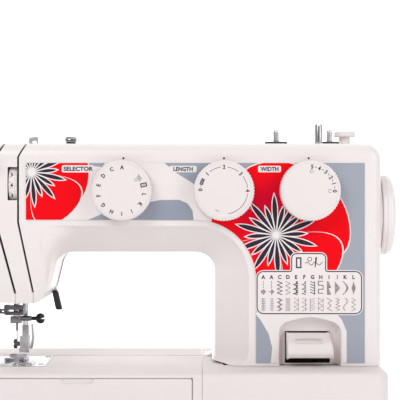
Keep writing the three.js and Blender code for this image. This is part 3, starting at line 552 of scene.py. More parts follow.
WHITE_INK, GREY_INK, RED_INK, DARK_INK = range(4)
waves = [
    (WHITE_INK, [(-140, 264.5), (-22, 264.5), (-22, 250), (-60, 205), (-140, 205)]),
    (GREY_INK, [(-85, 264.5), (-60.5, 264.5), (-64, 259.5), (-80, 260.5)]),
    (GREY_INK, [(-77.2, 213.5), (-62, 220), (-48, 222), (-25, 226.5), (-8, 229.8), (4, 229.6), (10.5, 226),
                (13.6, 220), (13.2, 213.5)]),
    (WHITE_INK, [(-22, 264.5), (-12.6, 264.5), (0, 254), (16, 244), (36, 238), (36, 205), (14.5, 205),
                 (14.5, 214), (13.6, 222), (9.4, 228), (2, 231.2), (-14, 231), (-40, 226), (-50, 240)]),
    (WHITE_INK, [(67, 134), (72, 128), (79, 116), (82, 104), (80.5, 88), (146, 88), (146, 118), (142, 128),
                 (137, 133.6), (100, 142)]),
]


def flower(centre, reach, headings, stamens, first):
    """A generic five-petal flower: outlined petals, then outlined stamens round a white heart."""
    shapes = []
    for heading, size in headings:
        shapes.append((WHITE_INK, petal(centre, heading, reach * size + 1.0, reach * size * 1.06 + 2.0)))
        shapes.append((RED_INK, petal(centre, heading, reach * size, reach * size * 1.06)))
    for k in range(stamens):
        heading = first + 360 * k / stamens
        end = reach * (0.58 if k % 2 else 0.43)
        wide = reach * (0.068 if k % 2 else 0.055)
        shapes.append((WHITE_INK, stamen(centre, heading, 1.0, end + 2.2, wide + 1.7)))
        shapes.append((DARK_INK, stamen(centre, heading, 3.2, end, wide)))
    shapes.append((WHITE_INK, arc(centre, 2.6, 0, 345, 23)))
    return shapes


chart_edge = [
    (68.6, 132.9, 6), (159.3, 132.9, 6), (159.3, 170.0, 6), (128.4, 170.0, 1.2), (128.4, 185.4, 4.5),
    (98.3, 185.4, 4.5), (98.3, 170.0, 1.2), (68.6, 170.0, 6),
]
labels = [
    (ink_index, round_corners(inset_corners(chart_edge, inside), 6))
    for ink_index, inside in [(WHITE_INK, -0.8), (DARK_INK, 0), (WHITE_INK, 0.9)]
]
for left, right, low, high in [
    (-98.7, -71, 254.7, 260.9), (-6.2, 17.2, 254.8, 260.4), (69.8, 89.6, 254.8, 260.4),
]:
    plate = [(left, low, 1.4), (right, low, 1.4), (right, high, 1.4), (left, high, 1.4)]
    labels.append((WHITE_INK, round_corners(plate, 5)))
flowers = flower((-124.6, 255), 50, [(-100, 0.98), (150, 0.9), (60, 0.9), (-5, 0.98), (-50, 0.97)], 20, 5)
flowers += flower((85.4, 200.9), 60, [(160, 0.95), (232, 0.9), (92, 1.05), (15, 1.06), (-37, 1.0)], 20, 3)


def print_film(name, edge, layers, y):
    """One flat film whose every patch takes the ink of the topmost shape over it."""
    points, faces = [], []
    for outline in [edge] + [shape for _, shape in layers]:
        turn = sum(a[0] * b[1] - b[0] * a[1] for a, b in zip(outline, outline[1:] + outline[:1]))
        if turn < 0:
            outline = outline[::-1]
        faces.append(list(range(len(points), len(points) + len(outline))))
        points += [Vector(p) for p in outline]
    flat, _, patches, _, _, owners = delaunay_2d_cdt(points, [], faces, 1, 1e-4)
    kept, inks = [], []
    for patch, owner in zip(patches, owners):
        if 0 not in owner:
            continue
        top = max(owner)
        kept.append(list(patch))
        inks.append(layers[top - 1][0] if top else GREY_INK)
    piece = mesh_piece(name, [(p.x, y, p.y) for p in flat], kept)
    for polygon, ink in zip(piece.data.polygons, inks):
        polygon.material_index = ink
        if polygon.normal.y > 0:
            polygon.flip()
    return piece


def ink_group():
    """Screen ink: a colour that deepens towards a place on the print, with a faint halftone speckle."""
    group, given = shader_group("screen ink", [
        ("Colour", "Color", None), ("Deep Colour", "Color", None), ("Place", "Vector", None),
        ("Reach", "Float", 0.05),
    ])
    where = add_node(group, "TexCoord", {}).outputs["Object"]
    away = add_node(group, "VectorMath", {0: where, 1: given["Place"]}, "DISTANCE")
    fade = add_node(group, "MapRange", {
        "Value": away.outputs["Value"], "From Min": 0.004, "From Max": given["Reach"],
    })
    fade.interpolation_type = "SMOOTHSTEP"
    speck = add_node(group, "TexNoise", {"Vector": where, "Scale": 1600.0}).outputs["Fac"]
    dither = add_node(group, "Math", {0: speck, 1: 0.1, 2: fade.outputs["Result"]}, "MULTIPLY_ADD")
    blend = add_node(group, "Mix", {
        "Factor": dither.outputs["Value"], "A": given["Deep Colour"], "B": given["Colour"],
    }, "MIX")
    gloss = add_node(group, "MapRange", {"Value": speck, "To Min": 0.34, "To Max": 0.46})
    return give_out(group, blend.outputs["Result"], gloss.outputs["Result"])


screen_ink = ink_group()


def ink(name, colour, deep=None, place=(0, 0, 0), reach=0.05):
    """A printed colour's material."""
    return surfaced(name, screen_ink, {
        "Colour": (*colour, 1), "Deep Colour": (*(deep or colour), 1), "Place": place, "Reach": reach,
    }, {"Specular IOR Level": 0.08})


white_ink = ink("white film", (0.83, 0.775, 0.768), (0.8, 0.745, 0.74))
grey_ink = ink("blue-grey ink", (0.36, 0.385, 0.45), (0.27, 0.3, 0.37), (0.0, 0.0, 0.18), 0.16)
red_ink = ink("red ink", (0.87, 0.002, 0.008), (0.52, 0.0, 0.03), (0.0854, -0.046, 0.216), 0.05)
dark_ink = ink("dark ink", (0.035, 0.025, 0.042))
film = print_film("printed_front_film", film_edge, waves + flowers + labels, film_y)
wear(film, white_ink, grey_ink, red_ink, dark_ink)
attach(film, "machine")
film_core = moulded("film edge", (0.8, 0.76, 0.76))
wear(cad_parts["decor_panel"], film_core)


# ---------------------------------------------------------------- dials
# Three knobs of satin off-white plastic with fine knurls round the rim are pushed on the control
# spindles. Their scales are pad-printed in dark ink: stitch letters, stitch length, stitch width.


def turned(name, axis, centre, profile, steps=64, flutes=0, ring=False):
    """A lathe shape. Each row is (radius, place along the axis, depth of its flutes)."""
    levels = []
    for radius, at, *cut in profile:
        depth = cut[0] if cut else 0
        outline = []
        for k in range(steps):
            a = 2 * math.pi * k / steps
            r = radius - depth * (0.5 - 0.5 * math.cos(a * flutes))
            outline.append((centre[0] + r * math.cos(a), centre[1] + r * math.sin(a)))
        levels.append((at, outline))
    return skin(name, axis, levels, ring)


def glyphs(text):
    """A word's letters as flat faces, one unit high about their middle."""
    curve = bpy.data.curves.new("lettering", "FONT")
    curve.body = text
    curve.resolution_u = 4
    curve.offset = 0.036
    holder = bpy.data.objects.new("lettering", curve)
    bpy.context.scene.collection.objects.link(holder)
    bpy.context.view_layer.update()
    mesh = bpy.data.meshes.new_from_object(holder)
    spots = [v.co.xy for v in mesh.vertices]
    patches = [list(polygon.vertices) for polygon in mesh.polygons]
    bpy.data.objects.remove(holder)
    left, right = min(p.x for p in spots), max(p.x for p in spots)
    low, high = min(p.y for p in spots), max(p.y for p in spots)
    middle = Vector(((left + right) / 2, (low + high) / 2))
    return [(p - middle) / (high - low) for p in spots], patches


def lettered(text, centre, height, turn=0, squeeze=1.0):
    """A word's flat faces at a place on a print, turned by an angle in degrees."""
    spots, patches = glyphs(text)
    spin = Matrix.Rotation(math.radians(turn), 2)
    return [Vector(centre) + spin @ Vector((p.x * squeeze, p.y)) * height for p in spots], patches


def ribbon(path, width, closed=False):
    """A stroke along a path as a strip of flat faces, mitred at its turns."""
    path = [Vector(p) for p in path]
    n = len(path)
    points, faces = [], []
    for i, p in enumerate(path):
        into = p - path[i - 1] if i or closed else path[1] - p
        on = path[(i + 1) % n] - p if i < n - 1 or closed else p - path[i - 1]
        into, on = into.normalized(), on.normalized()
        side = Vector((-into.y - on.y, into.x + on.x)).normalized()
        reach = width / 2 / max(side.dot(Vector((-into.y, into.x))), 0.5)
        points += [p + side * reach, p - side * reach]
    for i in range(n if closed else n - 1):
        j = (i + 1) % n
        faces.append([2 * i, 2 * i + 1, 2 * j + 1, 2 * j])
    return points, faces


def patch(outline):
    return [Vector(p) for p in outline], [list(range(len(outline)))]


INK_THICKNESS = 0.06


def printed(name, y, marks, material):
    """Marks printed on a flat front face: a very thin layer of ink that stands on it."""
    points, faces = [], []
    for spots, patches in marks:
        start = len(points)
        points += [(p.x, y - INK_THICKNESS / 2, p.y) for p in spots]
        faces += [[start + i for i in corners] for corners in patches]
    piece = mesh_piece(name, points, faces)
    layer = piece.modifiers.new("layer", "SOLIDIFY")
    layer.thickness = INK_THICKNESS * MM
    layer.offset = 0
    return wear(settle(piece), material)


def polar(centre, radius, angle):
    a = math.radians(angle)
    return Vector((centre[0] + radius * math.cos(a), centre[1] + radius * math.sin(a)))


def box_at(centre, radius, angle, along, across):
    """A rectangle that points outwards on a dial, from its middle."""
    out = polar((0, 0), 1, angle)
    side = Vector((-out.y, out.x))
    middle = polar(centre, radius, angle)
    return [
        middle + out * u * along / 2 + side * v * across / 2
        for u, v in [(-1, -1), (1, -1), (1, 1), (-1, 1)]
    ]


LETTER = 3.6
STEP = 26.2


def selector_scale(centre):
    """Eleven stitch letters, the buttonhole's box and a small hatched icon."""
    marks = []
    for k, letter in enumerate("ACDEFGHIJKL"):
        angle = 88 + STEP * k
        marks.append(lettered(letter, polar(centre, 19.7, angle), LETTER, angle - 90, 0.9))
    marks.append(ribbon(box_at(centre, 19.6, 14, 4.6, 2.7), 0.95, closed=True))
    marks.append(ribbon([polar(centre, 18.4, 14), polar(centre, 20.8, 14)], 0.45))
    for k in range(6):
        angle = 30 + 2.6 * k
        marks.append(ribbon([polar(centre, 17.2, angle - 4), polar(centre, 20.4, angle)], 0.3))
    marks.append(ribbon(arc(polar(centre, 15.6, 36), 1.2, 0, 340, 16), 0.3, closed=True))
    return marks


def length_scale(centre):
    """The numbers 0 to 4 along an arc, with a hatched box for buttonholes beside the 0."""
    marks = []
    for number, angle in zip("12340", [135, 90, 45, 0, 178]):
        marks.append(lettered(number, polar(centre, 20.1, angle), LETTER, angle - 90, 0.95))
    for start, end in [(127, 98), (82, 53), (37, 7), (-7, -80)]:
        marks.append(ribbon(arc(centre, 20.1, start, end, 16), 0.42))
    marks.append(ribbon(arc(centre, 20.1, 171, 167, 3), 0.42))
    marks.append(ribbon(arc(centre, 21.3, 151, 165, 5) + arc(centre, 18.9, 165, 151, 5), 0.5, closed=True))
    for k in range(5):
        marks.append(ribbon([polar(centre, 18.9, 151.5 + 3 * k), polar(centre, 21.3, 153 + 3 * k)], 0.75))
    for angle in (248, 254):
        marks.append(
            ribbon(
                [
                    polar(centre, 17.4, angle - 2), polar(centre, 18.6, angle),
                    polar(centre, 17.4, angle + 2),
                ],
                0.25,
            )
        )
    return marks


def width_scale(centre):
    """The numbers 5 to 0 with a dash between each pair, and two needle-position icons."""
    marks = []
    angles = [87, 69, 51, 33, 17, -1.4]
    for number, angle in zip("543210", angles):
        marks.append(lettered(number, polar(centre, 20.3, angle), LETTER, angle - 90, 0.95))
    for angle, following in zip(angles, angles[1:]):
        middle = (angle + following) / 2
        marks.append(ribbon(arc(centre, 20.3, middle + 2.6, middle - 2.6, 4), 0.5))
    for angle in (87, -1.4):
        heart = polar(centre, 16.2, angle)
        marks.append(ribbon(arc(heart, 1.25, 40, 300, 16), 0.3))
        for side in (-4, 4):
            marks.append(
                ribbon([polar(centre, 15.6, angle + side), polar(centre, 16.8, angle + side * 1.3)], 0.3)
            )
    return marks


knob_plastic = moulded(
    "satin dial plastic", (0.81, 0.75, 0.742), roughness=0.4, haze=0.1, grain=1500.0, relief=0.06
)
dial_print = ink("dial print", (0.055, 0.045, 0.07))
for node, body, scale in [
    ("selector_dial", "stitch_selector", selector_scale),
    ("length_dial", "length_control", length_scale),
    ("width_dial", "width_control", width_scale),
]:
    low, high = extent(node)
    centre = ((low.x + high.x) / 2, (low.z + high.z) / 2)
    radius = (high.x - low.x) / 2 + 0.4
    face = low.y
    back = body_front - 0.6 - 0.8
    ring_line = radius - 2.7
    title = node.split("_")[0]
    knob = turned(title + "_knob", "Y", centre, [
        (4, high.y), (4, back + 0.6), (radius - 1.6, back), (radius - 0.4, back - 0.5),
        (radius, back - 1.2, 0.6),
        (radius, face + 2.6, 0.6), (radius - 0.3, face + 1.3, 0.5), (radius - 1.0, face + 0.45, 0.2),
        (radius - 1.8, face + 0.12), (ring_line + 0.3, face + 0.12), (ring_line, face + 0.5),
        (ring_line - 0.3, face + 0.12), (ring_line - 1.2, face), (1, face),
    ], steps=240, flutes=60)
    install(knob, knob_plastic, body, node, angle=40)
    scale_print = printed(title + "_scale", face, scale(centre), dial_print)
    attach(scale_print, body)


# ---------------------------------------------------------------- front lettering and stitch chart
# The film carries small dark letters over each dial, and a chart of the stitches: two rows of line
# icons under the selector's letters. A raised tab on the chart shows the buttonhole.


def zigzag(x, z, width, height, turns):
    """A zigzag seam that runs down its column."""
    return [
        (x + (width / 2 if k % 2 else -width / 2), z - height * k / turns) for k in range(turns + 1)
    ]


def wedges(x, z, width, height, turns):
    """Filled bars whose lengths grow and shrink in step."""
    bars = []
    for k in range(turns):
        share = 1 - abs(2 * (k + 0.5) / turns - 1)
        level = z - height * (k + 0.5) / turns
        bars.append([(x - width * share / 2, level), (x + width * share / 2, level)])
    return bars


def first_row(k, x, z, h):
    """The dark stitch icon of a column: its strokes, each with a width."""
    w = 4.2
    straight = [([(x, z - h * a), (x, z - h * (a + 0.14))], 0.4) for a in (0, 0.19, 0.38)]
    if k < 2:
        lens = arc((x, z - h * 0.78), 1.5, 90, -90 if k else -270, 14)
        return straight + [(lens, 0.5), ([(x - 2.2, z - h * 0.78), (x + 2.2, z - h * 0.78)], 0.5),
                           ([(x, z - h * 0.6), (x, z - h)], 0.4)]
    if k == 2:
        return [(zigzag(x, z, w, h, 7), 0.75)]
    if k == 3:
        path = zigzag(x, z, w, h, 6)
        return [
            ([Vector(a).lerp(Vector(b), s), Vector(a).lerp(Vector(b), s + 0.2)], 0.6)
            for a, b in zip(path, path[1:]) for s in (0.04, 0.4, 0.76)
        ]
    if k in (4, 5):
        weight = 0.95 if k == 4 else 0.6
        path = []
        for j in range(3):
            top = z - h * j / 3
            path += [
                (x + 1.2, top), (x + 0.2, top - 1), (x + 1.2, top - 2), (x - 2.2, top - 2.9),
                (x + 1.2, top - 3.8),
            ]
        return [(path, weight)]
    if k == 6:
        teeth = [([(x - 2, z - h * j / 5), (x + 1.8, z - h * (j + 0.7) / 5)], 0.6) for j in range(5)]
        return teeth + [([(x + 1.8, z), (x + 1.8, z - h)], 0.6)]
    if k == 7:
        path = []
        for j in range(4):
            side = 1 if j % 2 else -1
            path += [(x - side * 2, z - h * j / 3.4), (x + side * 2, z - h * j / 3.4)]
        return [(path, 0.6)]
    if k == 8:
        levels = [z - h * (j + 0.5) / 12 for j in range(12)]
        return [([(x - 1.8, v), (x + (-0.2 + j % 6 * 0.4), v)], 0.62) for j, v in enumerate(levels)]
    if k == 9:
        bars = wedges(x, z, w * 1.1, h, 11)
        return [([(x - 2, a[1]), (x - 2 + (b[0] - a[0]), b[1])], 0.62) for a, b in bars]
    if k == 10:
        bars = []
        for j in range(12):
            share = (j + 0.5) / 12
            bow = math.sin(math.pi * share)
            level = z - h * share
            bars.append(
                ([(x - 1.8 + 3.4 * bow - 0.9, level), (x - 1.8 + 3.4 * bow + 0.9 * bow, level)], 0.62)
            )
        return bars
    return [(bar, 0.62) for bar in wedges(x, z, 3.6, h, 12)]


def second_row(k, x, z, h):
    """The lighter stretch-stitch icon of a column."""
    w = 4.2
    if k < 2:
        reach = -2.0 if k == 0 else 0
        levels = [z - h * (j + 0.5) / 6 for j in range(6)]
        ticks = [([(x + reach, v), (x + 2, v)], 0.4) for v in levels]
        return ticks + [([(x - 0.5, z), (x - 0.5, z - h)], 0.4), ([(x + 0.5, z), (x + 0.5, z - h)], 0.4)]
    if k == 2:
        return [(zigzag(x + s, z, w * 0.7, h, 6), 0.4) for s in (-0.8, 0, 0.8)]
    if k == 3:
        return [(zigzag(x, z, side * w * 0.9, h, 8), 0.42) for side in (1, -1)]
    if k in (4, 5):
        path = [(x + 1.8, z), (x + 1.8, z - h)] if k == 4 else [(x + 1.2, z), (x + 1.2, z - h)]
        return [(zigzag(x, z, w, h, 6), 0.45), (path, 0.4)]
    if k == 6:
        teeth = [([(x - 2, z - h * (j + 1) / 5), (x + 2, z - h * j / 5)], 0.45) for j in range(5)]
        return teeth + [([(x - 2, z), (x - 2, z - h)], 0.45)]
    if k == 7:
        sides = [([(x + s, z), (x + s, z - h)], 0.4) for s in (-2.1, 2.1)]
        return sides + [(zigzag(x, z, w, h, 5), 0.45)]
    if k in (8, 9):
        path = zigzag(x, z, w * (0.9 if k == 8 else 0.7), h, 5 if k == 8 else 8)
        return [([(a + 0.5 * (j % 3), b) for j, (a, b) in enumerate(path)], 0.6)]
    if k == 10:
        return [([(x + 1.6 * math.sin(math.pi * 2 * s) + (0.7 if j % 2 else -0.7), z - h * s)
                  for j, s in enumerate(m / 12 for m in range(13))], 0.5)]
    return [(zigzag(x, z, w * 0.8, h, 6), 0.5)]


COLUMN = 7.05
front_words = [
    lettered("SELECTOR", (-84.6, 257.8), 3.8, 0, 1.08),
    lettered("LENGTH", (5.5, 257.6), 3.8, 0, 0.9),
    lettered("WIDTH", (79.7, 257.6), 3.8, 0, 0.91),
]
first_icons, second_icons = [], []
for k, letter in enumerate("AACDEFGHIJKL"):
    x = 74.4 + COLUMN * k
    front_words.append(lettered(letter, (x, 164.8), 3.5, 0, 0.95))
    first_icons += [ribbon(path, width) for path, width in first_row(k, x, 161.2, 11.6)]
    second_icons += [ribbon(path, width) for path, width in second_row(k, x, 146.8, 11.2)]
first_icons.append(
    ribbon([(103.0, 173.0), (106.6, 173.0), (106.6, 181.2), (103.0, 181.2)], 1.15, closed=True)
)
thread_wave = [(110.5 + 15 * s, 176.4 + 1.3 * math.sin(s * 14)) for s in [j / 24 for j in range(25)]]
first_icons += [
    ribbon(thread_wave, 0.5),
    patch([(118.6, 172.8), (119.3, 173.4), (120.6, 181.6), (119.8, 182.0), (119.0, 181.4)]),
    ribbon(arc((114.2, 180.2), 1.7, 0, 340, 18), 0.5, closed=True),
]
dots = []
for x in (-45.8, 40.6, 113.4):
    dots.append(patch(arc((x, 266.9), 0.95, 0, 345, 23)))
print_y = film_y - 0.01
faint_print = ink("grey print", (0.30, 0.28, 0.29))
for name, y, marks, material in [
    ("front_lettering", print_y, front_words, dial_print),
    ("stitch_chart_first_row", print_y, first_icons, dial_print),
    ("stitch_chart_second_row", print_y, second_icons, faint_print),
    ("dial_index_dots", body_front, dots, dial_print),
]:
    layer = printed(name, y, marks, material)
    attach(layer, "machine")


# ---------------------------------------------------------------- tension wheel
# The thread tension dial is a white plastic wheel on the tension stud. Its rim stands in a window
# between the thread grooves, with dark numbers round it and fine ridges for the finger.

low, high = extent("tension_dial")
wheel_y, wheel_z = (low.y + high.y) / 2, (low.z + high.z) / 2
wheel_radius = (high.z - low.z) / 2
ridge_x = high.x - 2.2
tension_wheel = turned("tension_wheel", "X", (wheel_y, wheel_z), [
    (2.6, low.x), (2.6, low.x + 2.2), (wheel_radius - 0.9, low.x + 2.2), (wheel_radius, low.x + 2.9),
    (wheel_radius, ridge_x), (wheel_radius, ridge_x + 0.1, 0.7), (wheel_radius, high.x - 0.5, 0.7),
    (wheel_radius - 0.8, high.x), (1, high.x),
], steps=216, flutes=54)
install(tension_wheel, knob_plastic, "tension_control", "tension_dial", angle=30)

points, faces = [], []
DIGIT_PITCH = 30
for k in range(10):
    spots, patches = lettered(str(k), (0, 0), 3.4)
    start = len(points)
    for p in spots:
        a = math.radians((k - 4) * DIGIT_PITCH - 4) + p.y / wheel_radius
        r = wheel_radius + 0.03
        points.append((low.x + 5.1 + p.x, wheel_y - r * math.cos(a), wheel_z + r * math.sin(a)))
    faces += [[start + i for i in corners] for corners in patches]
for k in range(20):
    a = math.radians((k / 2 - 3.75) * DIGIT_PITCH - 4)
    start = len(points)
    r = wheel_radius + 0.03
    for u, v in [(0, -0.011), (1.4, -0.011), (1.4, 0.011), (0, 0.011)]:
        points.append((low.x + 3.1 + u, wheel_y - r * math.cos(a + v), wheel_z + r * math.sin(a + v)))
    faces.append([start, start + 1, start + 2, start + 3])
tension_scale = mesh_piece("tension_scale", points, faces)
rim_ink = tension_scale.modifiers.new("layer", "SOLIDIFY")
rim_ink.thickness = INK_THICKNESS * MM
rim_ink.offset = 0
wear(settle(tension_scale), dial_print)
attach(tension_scale, "tension_control")


# ---------------------------------------------------------------- reverse lever
# The thumb piece that sews backwards is one curved white moulding. It rocks on a pin behind the
# pillar's face, and its brow has fine ribs for the thumb.

low, high = extent("reverse_lever")
pin_y, pin_z = low.y + 44.1, low.z + 16
lever_side = [
    (-24, -16, 0), (-41.6, -16, 2), (-44.1, -12, 4), (-42, -4, 8), (-26, 3.9, 4), (-16, 3.6, 0),
    (-2, 3.9, 3), (1.4, 0, 2), (-2, -4, 3), (-14, -7, 4),
]
levels = []
for k, (share, inside) in enumerate(
    [(0, 1.4), (0.02, 0.5), (0.05, 0.12), (0.1, 0), (0.9, 0), (0.95, 0.12), (0.98, 0.5), (1, 1.4)]
):
    x = low.x + (high.x - low.x) * share
    outline = round_corners(inset_corners(lever_side, inside), 6)
    levels.append((x, [(pin_y + p.x, pin_z + p.y) for p in outline]))
reverse_thumb = skin("reverse_thumb_piece", "X", levels)
for vertex in reverse_thumb.data.vertices:
    out = (body_front + 5) * MM - vertex.co.y
    if out > 0 and vertex.co.x > (low.x + high.x) / 2 * MM:
        vertex.co.x += 2.2 * MM * min(out / (9 * MM), 1) * min(
            max((pin_z + 1.5) * MM - vertex.co.z, 0) / (8 * MM), 1,
        )
brow_low, brow_high = Vector((pin_y - 43.0, pin_z - 7.0)), Vector((pin_y - 33.0, pin_z + 0.6))
along = (brow_high - brow_low).normalized()
outward = Vector((-along.y, along.x))
for k in range(5):
    heart = brow_low.lerp(brow_high, 0.3 + 0.13 * k)
    groove = [
        heart + along * u + outward * v
        for u, v in [(-0.22, -0.35), (0.22, -0.35), (0.22, 3), (-0.22, 3)]
    ]
    carve(reverse_thumb, prism("rib gap", "X", groove, (low.x + 7, high.x - 7)))
install(reverse_thumb, knob_plastic, "reverse_control", "reverse_lever", angle=35)


# ---------------------------------------------------------------- handwheel
# The handwheel is a glossy white moulding keyed to the main shaft's end: a thin flange beside the body,
# a narrow groove, then a domed rim round a shallow dish.

low, high = extent("handwheel")
shaft_line = ((low.y + high.y) / 2, (low.z + high.z) / 2)
wheel_profile = [
    (6, 0), (33.6, 0), (35.2, 0.5), (35.8, 1.4), (35.8, 3.4), (35.4, 3.9), (34.9, 4.1), (34.9, 4.4),
    (35.4, 4.8),
    (35.5, 6.6), (35.1, 8.2), (34.2, 9.6), (32.7, 10.8), (30.4, 11.8), (27.6, 12.5), (24.4, 13.0),
    (21.2, 13.3),
    (17.4, 13.5), (15.4, 13.3), (14.2, 12.7), (13.2, 12.4), (1, 12.4),
]
hand_wheel = turned("hand_wheel", "X", shaft_line, [(r, low.x + at) for r, at in wheel_profile], steps=144)
install(hand_wheel, white_plastic, "drive_shaft", "handwheel", angle=35)

wheel_boss = turned("wheel_boss", "X", shaft_line, [
    (6, body_right - 1), (34.6, body_right - 1), (34.6, low.x - 0.7), (34.2, low.x - 0.3), (6, low.x - 0.3),
], steps=96, ring=True)
install(wheel_boss, white_plastic, "machine")


# ---------------------------------------------------------------- thread guides and bobbin winder on top
# Small plated parts stand on the arm: a hooked thread guide, a pair of spring-loaded discs, the winder's
# split spindle and its white stopper, and two ribbed spool pins with felt washers.


def metal_group():
    """Worked metal: fine drawing streaks, and a cloudy haze of handling."""
    group, given = shader_group("worked metal", [
        ("Colour", "Color", None), ("Grain", "Vector", None), ("Roughness", "Float", 0.25),
        ("Haze", "Float", 0.15),
    ])
    where = add_node(group, "TexCoord", {}).outputs["Object"]
    stretch = add_node(group, "VectorMath", {0: where, 1: given["Grain"]}, "MULTIPLY").outputs["Vector"]
    streak = add_node(group, "TexNoise", {"Vector": stretch, "Scale": 1.0, "Detail": 3.0}).outputs["Fac"]
    cloud = add_node(group, "TexNoise", {"Vector": where, "Scale": 120.0, "Detail": 5.0}).outputs["Fac"]
    both = add_node(group, "Math", {0: streak, 1: cloud}, "MULTIPLY").outputs["Value"]
    haze = add_node(group, "Math", {0: both, 1: given["Haze"], 2: given["Roughness"]}, "MULTIPLY_ADD")
    dull = add_node(
        group, "Mix", {"Factor": both, "A": given["Colour"], "B": (0.45, 0.43, 0.45, 1)}, "MULTIPLY",
    )
    return give_out(group, dull.outputs["Result"], haze.outputs["Value"], streak)


worked_metal = metal_group()


def metal(name, colour, roughness, grain=(2500, 2500, 120), haze=0.2, relief=0.04):
    """A metal's material. Its grain is finest along the largest number."""
    return surfaced(name, worked_metal, {
        "Colour": (*colour, 1), "Grain": grain, "Roughness": roughness, "Haze": haze,
    }, {"Metallic": 1.0}, (relief, 0.0001))


def union(name, first, *others):
    """Joins overlapping pieces into one solid."""
    carve(first, *others, keep="UNION")
    first.name = name
    return first


bright_chrome = metal("bright chrome", (0.74, 0.72, 0.75), 0.12, haze=0.12)
plated_steel = metal("plated steel", (0.56, 0.54, 0.57), 0.24)
satin_chrome = metal("satin chrome", (0.80, 0.77, 0.79), 0.28)
dark_steel = metal("dark steel", (0.16, 0.15, 0.165), 0.3)
worn_steel = metal("worn steel", (0.33, 0.31, 0.325), 0.28)

low, high = extent("top_thread_guide")
hook_face = round_corners([
    (low.x, low.z, 0), (low.x + 3.2, low.z, 0), (low.x + 3.2, low.z + 3.9, 0.9),
    (low.x + 7.2, low.z + 3.9, 1.6),
    (low.x + 7.2, low.z + 1.1, 0), (high.x, low.z + 1.1, 0.3), (high.x, high.z, 1.2), (low.x, high.z, 1.2),
], 4)
guide_face = prism("face", "Y", hook_face, (low.y, low.y + 1))
guide_foot = block("foot", (low.x, low.x + 3.2), (low.y + 0.4, high.y), (low.z, low.z + 1.1))
top_guide = union("top_thread_hook", guide_face, guide_foot)
install(top_guide, satin_chrome, "machine", "top_thread_guide", edge=0.15, angle=30)
guide_screw = turned("top_guide_screw", "Z", (low.x + 1.6, high.y - 2), [
    (2.2, low.z + 1.0), (2.4, low.z + 1.3), (2.3, low.z + 2.0), (1.6, low.z + 2.4), (0.5, low.z + 2.5),
], steps=32)
carve(
    guide_screw,
    block("slot", (low.x - 1.5, low.x + 5), (high.y - 2.3, high.y - 1.7), (low.z + 1.7, low.z + 3)),
)
install(guide_screw, plated_steel, "machine")

low, high = extent("winder_tension_guide")
stud = upright(low, high)
for title, worked, rows in [
    ("winder_guide_base", dark_steel, [(4.7, 0), (4.9, 0.3), (4.7, 1.3), (4.2, 1.8), (4.2, 2.2), (1, 2.2)]),
    ("winder_guide_lower_disc", bright_chrome, [
        (1.6, 2.25), (4.4, 2.25), (6.0, 2.9), (6.2, 3.3), (4.6, 2.9), (1.6, 2.9),
    ]),
    ("winder_guide_upper_disc", bright_chrome, [
        (1.6, 3.5), (4.6, 3.5), (6.2, 4.5), (6.1, 4.8), (4.6, 4.2), (1.6, 4.2),
    ]),
    ("winder_guide_cap", plated_steel, [
        (3.6, 4.3), (4.9, 4.6), (5.3, 5.4), (5.3, 6.2), (4.6, 7.1), (3.2, 7.5), (0.5, 7.5),
    ]),
]:
    disc = turned(title, "Z", stud, [(r, low.z + at) for r, at in rows], steps=48, ring="disc" in title)
    install(
        disc, worked, "machine", "winder_tension_guide" if title == "winder_guide_base" else None,
    )

low, high = extent("winder_spindle")
winder_line = upright(low, high)
spindle = turned("bobbin_winder_spindle", "Z", winder_line, [
    (4.6, low.z), (4.6, 261.6), (3.1, 261.6), (3.1, arm_top), (4.4, arm_top + 0.3), (4.2, arm_top + 1.6),
    (3.3, arm_top + 2.6), (3.3, high.z - 1.2), (3.0, high.z - 0.4), (2.4, high.z), (0.5, high.z),
], steps=48)
slot_x = winder_line[0] + 0.2
carve(spindle, block("split", (slot_x - 0.6, slot_x + 0.6), (-8, 8), (arm_top + 4, high.z + 2)))
catch = block("catch", (slot_x - 0.55, slot_x + 0.55), (-2.9, 2.9), (arm_top + 4.1, high.z - 1.5))
install(spindle, plated_steel, "winder_shaft", "winder_spindle")
wear(soften(catch, 0.15), dark_steel)
catch.name = "winder_spindle_spring"
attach(catch, "winder_shaft")

low, high = extent("winder_stopper")
stop_line = upright(low, high)
stopper = turned("bobbin_winder_stopper", "Z", stop_line, [
    (4.6, low.z), (5.1, low.z + 0.4), (4.9, high.z - 5.6), (5.4, high.z - 5.2), (9.1, high.z - 5.0),
    (9.6, high.z - 4.5),
    (9.6, high.z - 1.6), (9.1, high.z - 0.7), (8.0, high.z - 0.2), (5.5, high.z), (0.6, high.z),
], steps=64)
install(stopper, knob_plastic, "machine", "winder_stopper")

